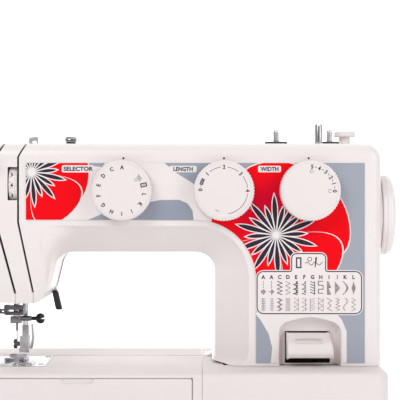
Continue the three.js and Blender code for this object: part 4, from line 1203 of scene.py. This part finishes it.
felt_grey = moulded(
    "grey felt", (0.10, 0.10, 0.11), roughness=0.95, haze=0.05, mottle=0.5, grain=2600.0, relief=0.6
)
for side in ("left", "right"):
    low, high = extent(f"spool_pin_{side}")
    pin_line = upright(low, high)
    rows = [(4, low.z), (4, low.z + 3), (2.4, low.z + 3)]
    for k in range(23):
        ring_z = low.z + 4 + 2.2 * k
        rows += [(2.4, ring_z), (2.9, ring_z + 0.3), (2.9, ring_z + 1.1), (2.4, ring_z + 1.4)]
    rows += [(2.4, high.z - 0.6), (1.9, high.z), (0.4, high.z)]
    spool_rod = turned(f"spool_rod_{side}", "Z", pin_line, rows, steps=40)
    install(spool_rod, satin_chrome, f"{side}_spool_pin", f"spool_pin_{side}", angle=40)
    boss = turned(f"spool_boss_{side}", "Z", pin_line, [
        (3.2, arm_top - 0.2), (9.0, arm_top - 0.2), (8.4, arm_top + 1.2), (7.6, arm_top + 3.2),
        (3.2, arm_top + 3.2),
    ], steps=64, ring=True)
    install(boss, white_plastic, "machine")
    felt = turned(f"spool_felt_{side}", "Z", pin_line, [
        (3.2, arm_top + 3.3), (10.2, arm_top + 3.3), (10.5, arm_top + 3.8), (10.2, arm_top + 4.7),
        (3.2, arm_top + 4.9),
    ], steps=64, ring=True)
    install(felt, felt_grey, "machine")


# ---------------------------------------------------------------- needle bar, clamp and threader
# A hard-chromed bar carries the needle in a steel clamp with a black thumb screw. The threader's slide
# and the thread take-up are stamped from plated steel and stand beside it.

satin_black = moulded("satin black plastic", (0.018, 0.015, 0.018), roughness=0.32, haze=0.12, relief=0.05)

low, high = extent("needle_bar")
needle_x = (low.x + high.x) / 2
bar = turned("needle_bar_rod", "Z", (needle_x, 0), [
    (2.6, low.z), (3.2, low.z + 0.6), (3.2, high.z - 0.8), (2.4, high.z), (0.5, high.z),
], steps=40)
install(bar, bright_chrome, "needle_carrier", "needle_bar")

low, high = extent("needle")
sewing_needle = turned("sewing_needle", "Z", (needle_x, 0), [
    (0.06, low.z), (0.3, low.z + 1.6), (0.42, low.z + 3.5), (0.45, high.z - 8), (0.5, high.z - 7.4),
    (0.92, high.z - 6.4), (0.95, high.z - 6), (0.95, high.z), (0.2, high.z),
], steps=20)
carve(sewing_needle, block("eye", (needle_x - 0.16, needle_x + 0.16), (-2, 2), (low.z + 2.0, low.z + 3.4)))
install(sewing_needle, dark_steel, "needle_carrier", "needle")

low, high = extent("needle_clamp")
tube_line = (0, 124.9)
clamp_outline = round_corners(
    [(low.x, -5, 1.6), (-140.2, -5, 1.2), (-140.2, 4.6, 1.2), (low.x, 4.6, 1.6)], 4,
)
clamp_block = prism("clamp", "Z", clamp_outline, (low.z, high.z - 0.2))
tube = turned(
    "tube", "X", tube_line, [(2.2, -141), (2.2, high.x - 0.3), (1.9, high.x), (0.5, high.x)], steps=28,
)
collar = turned(
    "collar", "Z", (needle_x, 0), [(4.2, low.z - 0.2), (4.4, low.z), (4.4, low.z + 1), (1, low.z + 1)],
    steps=32,
)
needle_clamp = union("needle_clamp_block", clamp_block, tube, collar)
carve(
    needle_clamp,
    turned(
        "bar hole", "Z", (needle_x, 0), [(3.25, low.z + 0.6), (3.25, high.z + 3), (1, high.z + 3)],
        steps=32,
    ),
    turned("screw hole", "X", tube_line, [(1.45, -142), (1.45, high.x + 3), (0.5, high.x + 3)], steps=20),
)
install(needle_clamp, worn_steel, "needle_carrier", "needle_clamp", edge=0.2, angle=30)

low, high = extent("needle_clamp_screw")
thumb_screw = turned("needle_thumb_screw", "X", tube_line, [
    (1, low.x), (1, low.x + 4.4), (1.75, low.x + 4.6), (1.75, low.x + 7.8), (2.6, low.x + 8.3),
    (3.9, low.x + 9.4),
    (4.6, low.x + 10.9), (4.75, low.x + 12.3), (4.5, low.x + 13.7), (3.6, low.x + 15.0),
    (2.3, high.x - 0.2), (0.5, high.x),
], steps=48)
carve(
    thumb_screw,
    block("slot", (high.x - 3.2, high.x + 2), (-7, 7), (tube_line[1] - 0.7, tube_line[1] + 0.7)),
)
install(thumb_screw, satin_black, "clamp_screw", "needle_clamp_screw", edge=0.15, angle=30)

# A folded bracket over the clamp guides the thread close to the needle.
bracket_z = 128.2
bracket = union(
    "needle_thread_bracket",
    block("lower", (-145.5, -137.8), (-4.6, 6), (bracket_z, bracket_z + 1.2)),
    block("upper", (-145.5, -137.8), (-4.6, 6), (bracket_z + 4.6, bracket_z + 5.8)),
    block("right", (-140.4, -137.8), (-3, 6), (bracket_z, bracket_z + 7.8)),
)
carve(
    bracket,
    turned(
        "hole", "Z", (needle_x, 0), [(3.25, bracket_z - 2), (3.25, bracket_z + 9), (1, bracket_z + 9)],
        steps=32,
    ),
)
install(bracket, dark_steel, "needle_carrier", edge=0.2, angle=30)

low, high = extent("needle_threader")
threader_x = -161.0
tab_side = round_corners([(-6, 127.4, 1.6), (5.4, 127.4, 1), (5.4, 136, 1), (-2, 136, 3)], 4)
threader = union(
    "threader_slide",
    turned(
        "rod", "Z", (threader_x, 3),
        [(1.3, low.z + 3.6), (1.6, low.z + 4), (1.6, high.z - 0.4), (1.2, high.z), (0.4, high.z)], steps=28,
    ),
    block("arm", (low.x + 4, high.x - 0.4), (0.8, 5.4), (128.9, 130.4)),
    block("second arm", (low.x + 4, high.x - 0.4), (0.8, 5.4), (131.6, 133.0)),
    block("web", (low.x + 14, threader_x + 3), (2.2, 4.0), (129.5, 132.4)),
    prism("tab", "X", tab_side, (low.x, low.x + 6)),
    block("cheek", (high.x - 3.2, high.x), (-8, 3), (128.9, 137.2)),
    block("lower finger", (high.x - 2, -138.4), (-8, -6.6), (128.4, 131.8)),
    block("upper finger", (high.x - 2, -138.4), (-8, -6.6), (133.2, 137.4)),
)
install(threader, dark_steel, "threader", "needle_threader", edge=0.2, angle=30)

low, high = extent("take_up_lever")
pivot_y, pivot_z = 10, 225
arm_side = round_corners([
    (pivot_y - 6, pivot_z - 6, 5.5), (pivot_y + 6, pivot_z - 6, 5.5), (pivot_y + 6, pivot_z + 6, 5.5),
    (pivot_y - 30, pivot_z + 24, 12), (pivot_y - 64, pivot_z + 42.2, 2.5),
    (pivot_y - 65.5, pivot_z + 37, 2.5),
], 6)
take_up = prism("thread_take_up", "X", arm_side, (low.x, high.x))
for y, z, radius in [(pivot_y - 61.5, pivot_z + 37.6, 1.2), (pivot_y, pivot_z, 2.4)]:
    carve(take_up, turned("hole", "X", (y, z), [(radius, low.x - 1), (radius, high.x + 1)], steps=24))
install(take_up, bright_chrome, "take_up", "take_up_lever", edge=0.18, angle=30)


# ---------------------------------------------------------------- presser bar, foot and lifter
# The presser bar ends in a shank that holds a snap-on zigzag foot. A lever at the head's back lifts
# the bar; only its steel edge and its black plastic grip come out beside the head.

low, high = extent("presser_bar")
presser_line = upright(low, high)
presser_rod = turned("presser_rod", "Z", presser_line, [
    (2.6, low.z), (3.0, low.z + 0.5), (3.0, high.z - 0.6), (2.4, high.z), (0.5, high.z),
], steps=40)
install(presser_rod, bright_chrome, "presser", "presser_bar")

low, high = extent("foot_holder")
shank_plan = round_corners([(low.x, 9, 1), (high.x, 9, 1.2), (high.x, high.y, 2.4), (low.x, high.y, 1)], 4)
stay_left = high.x - 6.4
stay_plan = round_corners(
    [(stay_left, 9, 0.6), (high.x, 9, 1.2), (high.x, 11.4, 0.6), (stay_left, 11.4, 0.6)], 4,
)
shank = union(
    "presser_shank",
    prism("shank", "Z", shank_plan, (low.z + 1.8, high.z)),
    block("ankle", (low.x, high.x), (low.y, 11), (low.z, 97.2)),
    prism("stay", "Z", stay_plan, (low.z + 4, high.z + 9.6)),
)
carve(shank, turned("bore", "Z", presser_line, [(3.05, 97.6), (3.05, 112), (1, 112)], steps=32))
install(shank, satin_chrome, "presser", "foot_holder", edge=0.25, angle=30)

low, high = extent("foot_screw")
shank_line = (presser_line[1], (low.z + high.z) / 2)
shank_screw = turned("shank_thumb_screw", "X", shank_line, [
    (2, high.x), (2, high.x - 2.4), (3.9, high.x - 2.5), (4.2, high.x - 2.9, 0.3), (4.2, low.x + 0.5, 0.3),
    (3.8, low.x), (0.5, low.x),
], steps=96, flutes=24)
carve(
    shank_screw,
    block("slot", (low.x - 1, low.x + 1.1), (0, 30), (shank_line[1] - 0.5, shank_line[1] + 0.5)),
)
install(shank_screw, dark_steel, "shank_screw", "foot_screw", angle=30)

low, high = extent("foot_release_lever")
release_side = round_corners([
    (low.x, low.z, 0), (low.x + 1.8, low.z + 1.2, 0), (high.x - 0.1, 106, 2), (low.x + 2.2, high.z, 0.6),
    (low.x + 0.6, high.z, 0.4), (low.x + 1.1, 106, 3), (low.x, low.z + 3.6, 0),
], 5)
release = prism("foot_release", "Y", release_side, (low.y, high.y))
install(release, satin_chrome, "foot_release", "foot_release_lever", edge=0.2, angle=30)

low, high = extent("presser_foot")
bed_top = 88.0
sole_plan = round_corners([
    (low.x, low.y, 2.4), (needle_x - 3.7, low.y, 0.8), (needle_x - 3.7, -7.5, 1.2),
    (needle_x + 3.7, -7.5, 1.2),
    (needle_x + 3.7, low.y, 0.8), (high.x, low.y, 2.4), (high.x, high.y, 3), (low.x, high.y, 3),
], 5)
foot_side = [
    (-14, 89.2), (-11.5, bed_top + 0.32), (7, bed_top + 0.32), (14, 89.6), (14, 90), (-10.5, 90),
    (-14, 91.6),
]
foot_sole = carve(
    prism("sole", "Z", sole_plan, (bed_top, 92.4)),
    prism("side", "X", foot_side, (low.x - 2, high.x + 2)),
    keep="INTERSECT",
)
foot_hole = rounded_box((needle_x - 5, needle_x + 5), (-2.2, 2.2), 2, 4)
carve(foot_sole, prism("needle slot", "Z", foot_hole, (80, 95)))
snap_foot = union(
    "snap_on_foot", foot_sole,
    block("left cheek", (-151.6, -149.4), (6, 11), (89, high.z)),
    block("right cheek", (-138.6, -136.4), (6, 11), (89, high.z)),
    turned("pin", "X", (8.4, 91.2), [(0.9, -150.4), (0.9, -137.6)], steps=20),
)
install(snap_foot, plated_steel, "foot", "presser_foot", edge=0.2, angle=30)

low, high = extent("presser_lever")
lifter_x, lifter_z = -150, 163
arm_face = round_corners([
    (lifter_x - 6, lifter_z - 6, 5.5), (lifter_x + 4, lifter_z - 7, 4), (lifter_x + 34, lifter_z - 18, 3),
    (lifter_x + 38, lifter_z - 16, 1.5), (lifter_x + 37, lifter_z - 11, 2), (lifter_x + 6, lifter_z + 5, 4),
    (lifter_x - 6, lifter_z + 6, 5.5),
], 5)
lifter_arm = prism("presser_lifter_arm", "Y", arm_face, (33.5, 36.5))
install(lifter_arm, plated_steel, "lifter", edge=0.25, angle=30)
grip_levels = []
for share, half, flare in [
    (0, 2.1, -0.4), (0.04, 2.6, -0.2), (0.12, 2.85, -0.1), (0.5, 2.9, 0), (0.85, 3.0, 0.1),
    (0.95, 2.9, 0.1), (1, 2.2, -0.3),
]:
    x = -114.1 + 4.0 * share
    z = 147.6 - 17.8 * share
    grip_levels.append((z, round_corners([
        (x - half, 35 - 3.4 - flare, 1.5), (x + half, 35 - 3.4 - flare, 1.5),
        (x + half, 35 + 3.4 + flare, 1.5),
        (x - half, 35 + 3.4 + flare, 1.5),
    ], 5)))
lifter_grip = skin("presser_lifter_grip", "Z", grip_levels)
install(lifter_grip, satin_black, "lifter", "presser_lever", angle=50)


# ---------------------------------------------------------------- base and free arm
# The fixed base is a white moulding under the pillar, open below and closed by a white tray on four
# rubber feet. The free arm's cover reaches left from it, round the hook, and carries the needle plate.

bed_plastic = moulded("satin white plastic", (0.79, 0.735, 0.73), roughness=0.5)
bed_plastic.node_tree.nodes["Principled BSDF"].inputs["Specular IOR Level"].default_value = 0.15

low, high = extent("base_cover")
BED_EDGE = [(0, 0.8), (0.7, 0), (5.2, 0), (5.3, 0.5), (6.1, 0.5), (6.2, 0)]
TOP_EDGE = [(3.6, 0), (2.5, 0.25), (1.5, 0.8), (0.8, 1.5), (0.25, 2.5), (0, 3.6)]


def bed_levels(corners_at):
    """A bed moulding's levels: a foot line near its lower edge, and a rounded upper edge."""
    levels = [(low.z + rise, corners_at(inset)) for rise, inset in BED_EDGE]
    levels += [(high.z - drop, corners_at(inset)) for drop, inset in TOP_EDGE]
    return [(z, round_corners(corners, 8)) for z, corners in levels]


base_shell = skin("base_shell", "Z", bed_levels(lambda d: [
    (low.x, low.y + d, 0), (high.x - d, low.y + d, 14 - d), (high.x - d, high.y - d, 14 - d),
    (low.x, high.y - d, 0),
]))
carve(
    base_shell,
    skin("hollow", "Z", [(z, round_corners([
        (low.x - 20, low.y + 2.5, 0), (high.x - 2.5, low.y + 2.5, 12), (high.x - 2.5, high.y - 2.5, 12),
        (low.x - 20, high.y - 2.5, 0),
    ], 6)) for z in (0, high.z - 2.5)]),
    block("well", (40, high.x - 8), (body_front + 8, body_back - 1), (high.z - 5, high.z + 1)),
    block("inlet hole", (high.x - 6, high.x + 2), (-18, 14), (26, 50)),
    block("switch hole", (high.x - 6, high.x + 2), (-50, -28), (28, 48)),
)
install(base_shell, bed_plastic, "machine", "base_cover", angle=30)

low, high = extent("free_arm_cover")
sleeve_levels = []
for x, inset in [(0, 3.5), (0.3, 2.4), (0.9, 1.4), (1.8, 0.6), (3.2, 0), (high.x - low.x, 0)]:
    sleeve = [(low.y, low.z, 6), (high.y, low.z, 6), (high.y, high.z, 3), (low.y, high.z, 3)]
    sleeve = inset_corners(sleeve, inset) if inset else sleeve
    sleeve_levels.append((low.x + x, round_corners(sleeve, 6)))
arm_sleeve = skin("free_arm_sleeve", "X", sleeve_levels)
plate_low, plate_high = extent("needle_plate")
carve(
    arm_sleeve,
    block("hollow", (low.x + 4, high.x + 5), (low.y + 2.5, high.y - 2.5), (low.z + 2.5, high.z - 2.5)),
    block(
        "seat", (plate_low.x - 0.3, plate_high.x + 0.3), (plate_low.y - 0.3, plate_high.y + 0.3), (84, 90),
    ),
)
install(arm_sleeve, bed_plastic, "machine", "free_arm_cover", angle=30)

wear(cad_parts["base_tray"], white_plastic)
soft_rubber = moulded(
    "soft grey rubber", (0.045, 0.045, 0.048), roughness=0.8, haze=0.15, mottle=0.2, relief=0.2,
)
for corner in ("front_left", "rear_left", "front_right", "rear_right"):
    low, high = extent(f"rubber_foot_{corner}")
    foot_pad = turned(f"foot_pad_{corner}", "Z", upright(low, high), [
        (5.6, low.z + 0.8), (6.6, low.z), (7.8, low.z), (8.7, low.z + 0.5), (9, low.z + 1.3), (9, high.z),
        (1, high.z),
    ], steps=40)
    install(foot_pad, soft_rubber, "machine", f"rubber_foot_{corner}")


# ---------------------------------------------------------------- needle plate and bobbin cover
# The needle plate is polished steel with engraved seam lines, and two slotted screws hold it. A clear
# moulded cover with a thumb ridge lies in its window, over the bobbin.

plate = block(
    "needle_plate_sheet", (plate_low.x, plate_high.x), (plate_low.y, plate_high.y),
    (plate_low.z, plate_high.z),
)
clear_low, clear_high = extent("bobbin_cover_plate")
window = [
    block(
        "window", (clear_low.x - 0.3, clear_high.x + 0.3), (clear_low.y - 0.3, clear_high.y + 0.3),
        (80, 90),
    ),
    block("needle slot", (needle_x - 4.5, needle_x + 4.5), (-1.2, 1.2), (80, 90)),
]
feed_rows = [(-150.5, -9, 11), (-138.5, -9, 11), (-144.5, 6.5, 11)]
window += [
    block("feed slot", (x - 1.9, x + 1.9), (y0 - 2.4, y1 + 2.4), (80, 90)) for x, y0, y1 in feed_rows
]
carve(plate, *window)
soften(plate, 0.25)
SEAM_PITCH = 3.18
for side, lines in ((1, 5), (-1, 4)):
    for k in range(lines):
        x = needle_x + side * (15.6 + SEAM_PITCH * k)
        reach = 24 if side > 0 and k % 2 else 12
        carve(plate, block("seam line", (x - 0.16, x + 0.16), (-14, reach), (plate_high.z - 0.25, 90)))
plate_steel = metal("polished plate steel", (0.56, 0.55, 0.57), 0.16, grain=(60, 2600, 2600), haze=0.16)
install(plate, plate_steel, "machine", "needle_plate", angle=25)
for k, y in enumerate((-30, 21)):
    plate_screw = turned(f"plate_screw_{k}", "Z", (plate_high.x - 4.6, y), [
        (2.6, plate_high.z), (2.6, plate_high.z + 0.15), (2.2, plate_high.z + 0.45),
        (0.5, plate_high.z + 0.5),
    ], steps=32)
    slot_at = plate_high.x - 4.6
    carve(
        plate_screw,
        block("slot", (slot_at - 0.35, slot_at + 0.35), (y - 4, y + 4), (plate_high.z + 0.12, 90)),
    )
    install(plate_screw, plated_steel, "machine")

lid_plan = round_corners([
    (clear_low.x, clear_low.y, 2), (clear_high.x, clear_low.y, 2), (clear_high.x, clear_high.y, 2),
    (clear_low.x, clear_high.y, 2),
], 5)
bobbin_lid = prism("bobbin_lid", "Z", lid_plan, (clear_low.z, clear_high.z))
carve(
    bobbin_lid,
    block(
        "thumb ridge", (clear_high.x - 5.5, clear_high.x - 4), (clear_low.y + 7, clear_high.y - 7),
        (clear_high.z - 0.9, 90),
    ),
)
clear_plastic = bpy.data.materials.new("clear plastic")
clear_plastic.use_nodes = True
clear_shader = clear_plastic.node_tree.nodes["Principled BSDF"]
clear_shader.inputs["Base Color"].default_value = (0.93, 0.95, 0.96, 1)
clear_shader.inputs["Transmission Weight"].default_value = 0.92
clear_shader.inputs["IOR"].default_value = 1.49
clear_nodes, clear_links = clear_plastic.node_tree.nodes, clear_plastic.node_tree.links
scuffs = clear_nodes.new("ShaderNodeGroup")
scuffs.node_tree = moulding
scuffs.inputs["Roughness"].default_value = 0.05
scuffs.inputs["Haze"].default_value = 0.12
scuffs.inputs["Grain Size"].default_value = 700
clear_links.new(scuffs.outputs["Roughness"], clear_shader.inputs["Roughness"])
install(
    bobbin_lid, clear_plastic, "bobbin_cover", "bobbin_cover_plate", edge=0.3, angle=30,
)


# ---------------------------------------------------------------- extension table
# A white tray wraps round the free arm and slides off to the left. Its top lies level with the free
# arm, and a door in its front folds down from a storage box.

low, high = extent("extension_table")
arm_slot = (-46.6, 30.6)
arm_end = -184.6
table_shell = skin("table_shell", "Z", bed_levels(lambda d: [
    (low.x + d, low.y + d, 16 - d), (high.x, low.y + d, 0), (high.x, arm_slot[0], 0),
    (arm_end, arm_slot[0], 0),
    (arm_end, arm_slot[1], 0), (high.x, arm_slot[1], 0), (high.x, high.y - d, 0),
    (low.x + d, high.y - d, 16 - d),
]))
carve(
    table_shell,
    block("storage", (-176, 14), (low.y - 1, arm_slot[0] - 3.4), (low.z + 8, high.z - 4)),
    block("rear hollow", (-176, 14), (arm_slot[1] + 3.4, high.y - 3), (low.z - 1, high.z - 3)),
)
install(table_shell, bed_plastic, "table", "extension_table", angle=30)

low, high = extent("storage_door")
door_levels = []
for y, inset in [(0, 1.2), (0.25, 0.45), (0.8, 0), (high.y - low.y, 0)]:
    door = [(low.x, low.z, 2), (high.x, low.z, 2), (high.x, high.z, 2), (low.x, high.z, 2)]
    door = inset_corners(door, inset) if inset else door
    door_levels.append((low.y + y, round_corners(door, 6)))
door_leaf = skin("storage_door_leaf", "Y", door_levels)
middle = (low.x + high.x) / 2
notch = round_corners(
    [
        (middle - 13, high.z - 4.2, 4), (middle + 13, high.z - 4.2, 4), (middle + 17, 100, 0),
        (middle - 17, 100, 0),
    ],
    6,
)
carve(door_leaf, prism("notch", "Y", notch, (low.y - 2, low.y + 1.5)))
for side in (-1, 1):
    barrel = turned("barrel", "X", (high.y - 1.3, low.z + 1.4), [
        (1.25, middle + side * 70 - 9), (1.3, middle + side * 70 - 8.8), (1.3, middle + side * 70 + 8.8),
        (1.25, middle + side * 70 + 9),
    ], steps=24)
    carve(door_leaf, barrel, keep="UNION")
install(door_leaf, bed_plastic, "table_door", "storage_door", angle=30)


# ---------------------------------------------------------------- rear handle and electrical fittings
# A white carrying handle folds flat against the back between two moulded ears. The black socket and
# the rocker switch sit low in the base's right side.

low, high = extent("carrying_handle")
hinge_y, hinge_z = low.y + 5, high.z - 5
leg_side = round_corners([(-5, 5, 4.8), (-5, -44, 3), (7, -44, 5), (7, -32, 4), (5, 5, 4.8)], 8)
leg_side = [(hinge_y + p.x, hinge_z + p.y) for p in leg_side]
grip_side = round_corners([(-5, -44, 4), (7, -44, 5), (7, -33, 4), (-5, -33, 4)], 8)
grip_side = [(hinge_y + p.x, hinge_z + p.y) for p in grip_side]
handle_bail = union(
    "handle_bail",
    prism("left leg", "X", leg_side, (low.x, low.x + 5.6)),
    prism("right leg", "X", leg_side, (high.x - 5.6, high.x)),
    prism("grip", "X", grip_side, (low.x + 1, high.x - 1)),
    turned("left pin", "X", (hinge_y, hinge_z), [(3.2, low.x + 4), (3.2, low.x + 12)], steps=32),
    turned("right pin", "X", (hinge_y, hinge_z), [(3.2, high.x - 12), (3.2, high.x - 4)], steps=32),
)
install(soften(handle_bail, 0.7, 3), white_plastic, "handle", "carrying_handle", angle=35)

low, high = extent("power_inlet")
socket_face = round_corners(
    [(low.y, low.z, 3), (high.y, low.z, 3), (high.y, high.z, 3), (low.y, high.z, 3)], 5,
)
mouth = round_corners([(-13, 30, 4), (9, 30, 4), (9, 46, 1.5), (-13, 46, 1.5)], 5)
inlet_body = prism("mains_inlet", "X", socket_face, (low.x, high.x + 0.6))
carve(inlet_body, prism("mouth", "X", mouth, (high.x - 14, high.x + 2)))
install(inlet_body, satin_black, "machine", "power_inlet", edge=0.4, angle=30)
for k, y in enumerate((-8, 4)):
    pin_end = round_corners(
        [(y - 1.6, 36, 0.6), (y + 1.6, 36, 0.6), (y + 1.6, 40, 0.6), (y - 1.6, 40, 0.6)], 4,
    )
    blade = prism(f"inlet_pin_{k}", "X", pin_end, (high.x - 14.2, high.x - 4))
    install(blade, bright_chrome, "machine", edge=0.4, angle=30)

low, high = extent("power_switch")
rocker_y, rocker_z = (low.y + high.y) / 2, 38
rocker_face = round_corners([
    (body_right - 7, rocker_z - 8, 0), (body_right + 0.6, rocker_z - 9, 0.8),
    (body_right - 1.8, rocker_z, 14),
    (body_right + 1.0, rocker_z + 9, 0.8), (body_right - 7, rocker_z + 8, 0),
], 6)
rocker_cap = prism("rocker_cap", "Y", rocker_face, (low.y, high.y))
install(rocker_cap, satin_black, "switch", "power_switch", edge=0.35, angle=30)
rocker_frame = block(
    "rocker_bezel", (body_right - 4, body_right + 0.8), (rocker_y - 11, rocker_y + 11), (27.4, 48.6),
)
carve(
    rocker_frame,
    block("opening", (body_right - 9, body_right + 3), (low.y - 0.4, high.y + 0.4), (28.4, 47.6)),
)
install(rocker_frame, satin_black, "machine", edge=0.3, angle=30)


# ---------------------------------------------------------------- works inside the covers
# A cast aluminium frame carries ground steel shafts, moulded pulleys and rubber belts, the black motor
# and the polished hook with its bobbin case. They show through openings and when the covers are off.

cast_alloy = metal("cast alloy", (0.42, 0.42, 0.43), 0.42, grain=(420, 420, 420), haze=0.3, relief=0.35)
motor_black = moulded(
    "black motor enamel", (0.025, 0.025, 0.028), roughness=0.36, haze=0.2, relief=0.12, coat=0.3,
)
belt_rubber = moulded(
    "black belt rubber", (0.02, 0.02, 0.021), roughness=0.75, haze=0.1, mottle=0.2, relief=0.3,
)
bobbin_plastic = moulded("milky bobbin plastic", (0.62, 0.64, 0.66), roughness=0.2, haze=0.1, coat=0.3)
for worn, names in [
    (cast_alloy, ["chassis", "needle_bar_frame"]),
    (
        plated_steel,
        ["main_shaft", "lower_shaft", "needle_bar_link", "feed_bar", "feed_dog", "motor_pulley"],
    ),
    (dark_steel, ["crank_counterweight", "bobbin_case"]),
    (bright_chrome, ["rotary_hook"]),
    (satin_black, ["double_pulley", "winder_carriage"]),
    (belt_rubber, ["timing_belt", "motor_belt"]),
    (motor_black, ["drive_motor"]),
    (bobbin_plastic, ["bobbin"]),
]:
    for name in names:
        wear(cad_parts[name], worn)


# ---------------------------------------------------------------- camera, light and floor
# The machine stands on a seamless pale sweep under three soft boxes and a bright even sky. The sweep also
# glows by itself, more and more towards its back, as painted light. The camera
# is level, a little above the middle of the arm, and looks straight at the front.

camera_data = bpy.data.cameras.new("camera")
camera_data.sensor_width = 36
camera_data.lens = 110.43
camera = bpy.data.objects.new("camera", camera_data)
camera.location = (0.02, -1.1, 0.231)
camera.rotation_euler = (math.radians(90), 0, 0)
bpy.context.scene.collection.objects.link(camera)
bpy.context.scene.camera = camera

sweep_points, sweep_faces = [], []
sweep_side = [(-3.0, 0.0), (1.2, 0.0)]
for degrees in range(10, 91, 10):
    a = math.radians(degrees)
    sweep_side.append((1.2 + 0.8 * math.sin(a), 0.8 - 0.8 * math.cos(a)))
sweep_side.append((2.0, 3.5))
for y, z in sweep_side:
    sweep_points += [(-3500, y * 1000, z * 1000), (3500, y * 1000, z * 1000)]
for k in range(len(sweep_side) - 1):
    sweep_faces.append([2 * k, 2 * k + 1, 2 * k + 3, 2 * k + 2])
sweep_floor = smooth(mesh_piece("sweep_floor", sweep_points, sweep_faces))
paper = bpy.data.materials.new("white paper sweep")
paper.use_nodes = True
paper_shader = paper.node_tree.nodes["Principled BSDF"]
paper_shader.inputs["Base Color"].default_value = (0.93, 0.93, 0.93, 1)
paper_shader.inputs["Roughness"].default_value = 0.9
# Painted light: the sweep's own glow is faint in front and rises towards the curve and the wall behind the
# machine.
paper_shader.inputs["Emission Strength"].default_value = 1.0
paper_nodes, paper_links = paper.node_tree.nodes, paper.node_tree.links
paper_place = paper_nodes.new("ShaderNodeTexCoord")
paper_axes = paper_nodes.new("ShaderNodeSeparateXYZ")
painted_sweep_glow = paper_nodes.new("ShaderNodeMapRange")
painted_sweep_glow.inputs["From Min"].default_value = 0.3
painted_sweep_glow.inputs["From Max"].default_value = 1.3
painted_sweep_glow.inputs["To Min"].default_value = 0.1
painted_sweep_glow.inputs["To Max"].default_value = 0.8
paper_links.new(paper_place.outputs["Object"], paper_axes.inputs["Vector"])
paper_links.new(paper_axes.outputs["Y"], painted_sweep_glow.inputs["Value"])
paper_links.new(painted_sweep_glow.outputs["Result"], paper_shader.inputs["Emission Color"])
wear(sweep_floor, paper)

sky = bpy.data.worlds.new("sky")
sky.use_nodes = True
sky.node_tree.nodes["Background"].inputs["Color"].default_value = (1, 1, 1, 1)
sky.node_tree.nodes["Background"].inputs["Strength"].default_value = 0.36
bpy.context.scene.world = sky
bpy.context.scene.view_settings.view_transform = "Standard"


def soft_box(name, place, aim, size, power):
    lamp = bpy.data.lights.new(name, "AREA")
    lamp.shape = "RECTANGLE"
    lamp.size, lamp.size_y = size
    lamp.energy = power
    holder = bpy.data.objects.new(name, lamp)
    holder.location = place
    holder.rotation_euler = (Vector(aim) - Vector(place)).to_track_quat("-Z", "Y").to_euler()
    bpy.context.scene.collection.objects.link(holder)


soft_box("key box", (-0.9, -1.5, 1.5), (0, 0, 0.2), (1.2, 1.0), 18.5)
soft_box("fill box", (1.4, -1.2, 0.9), (0, 0, 0.2), (1.0, 1.0), 11.5)
soft_box("top box", (0.0, 0.3, 1.8), (0, 0, 0.2), (1.6, 1.0), 5)
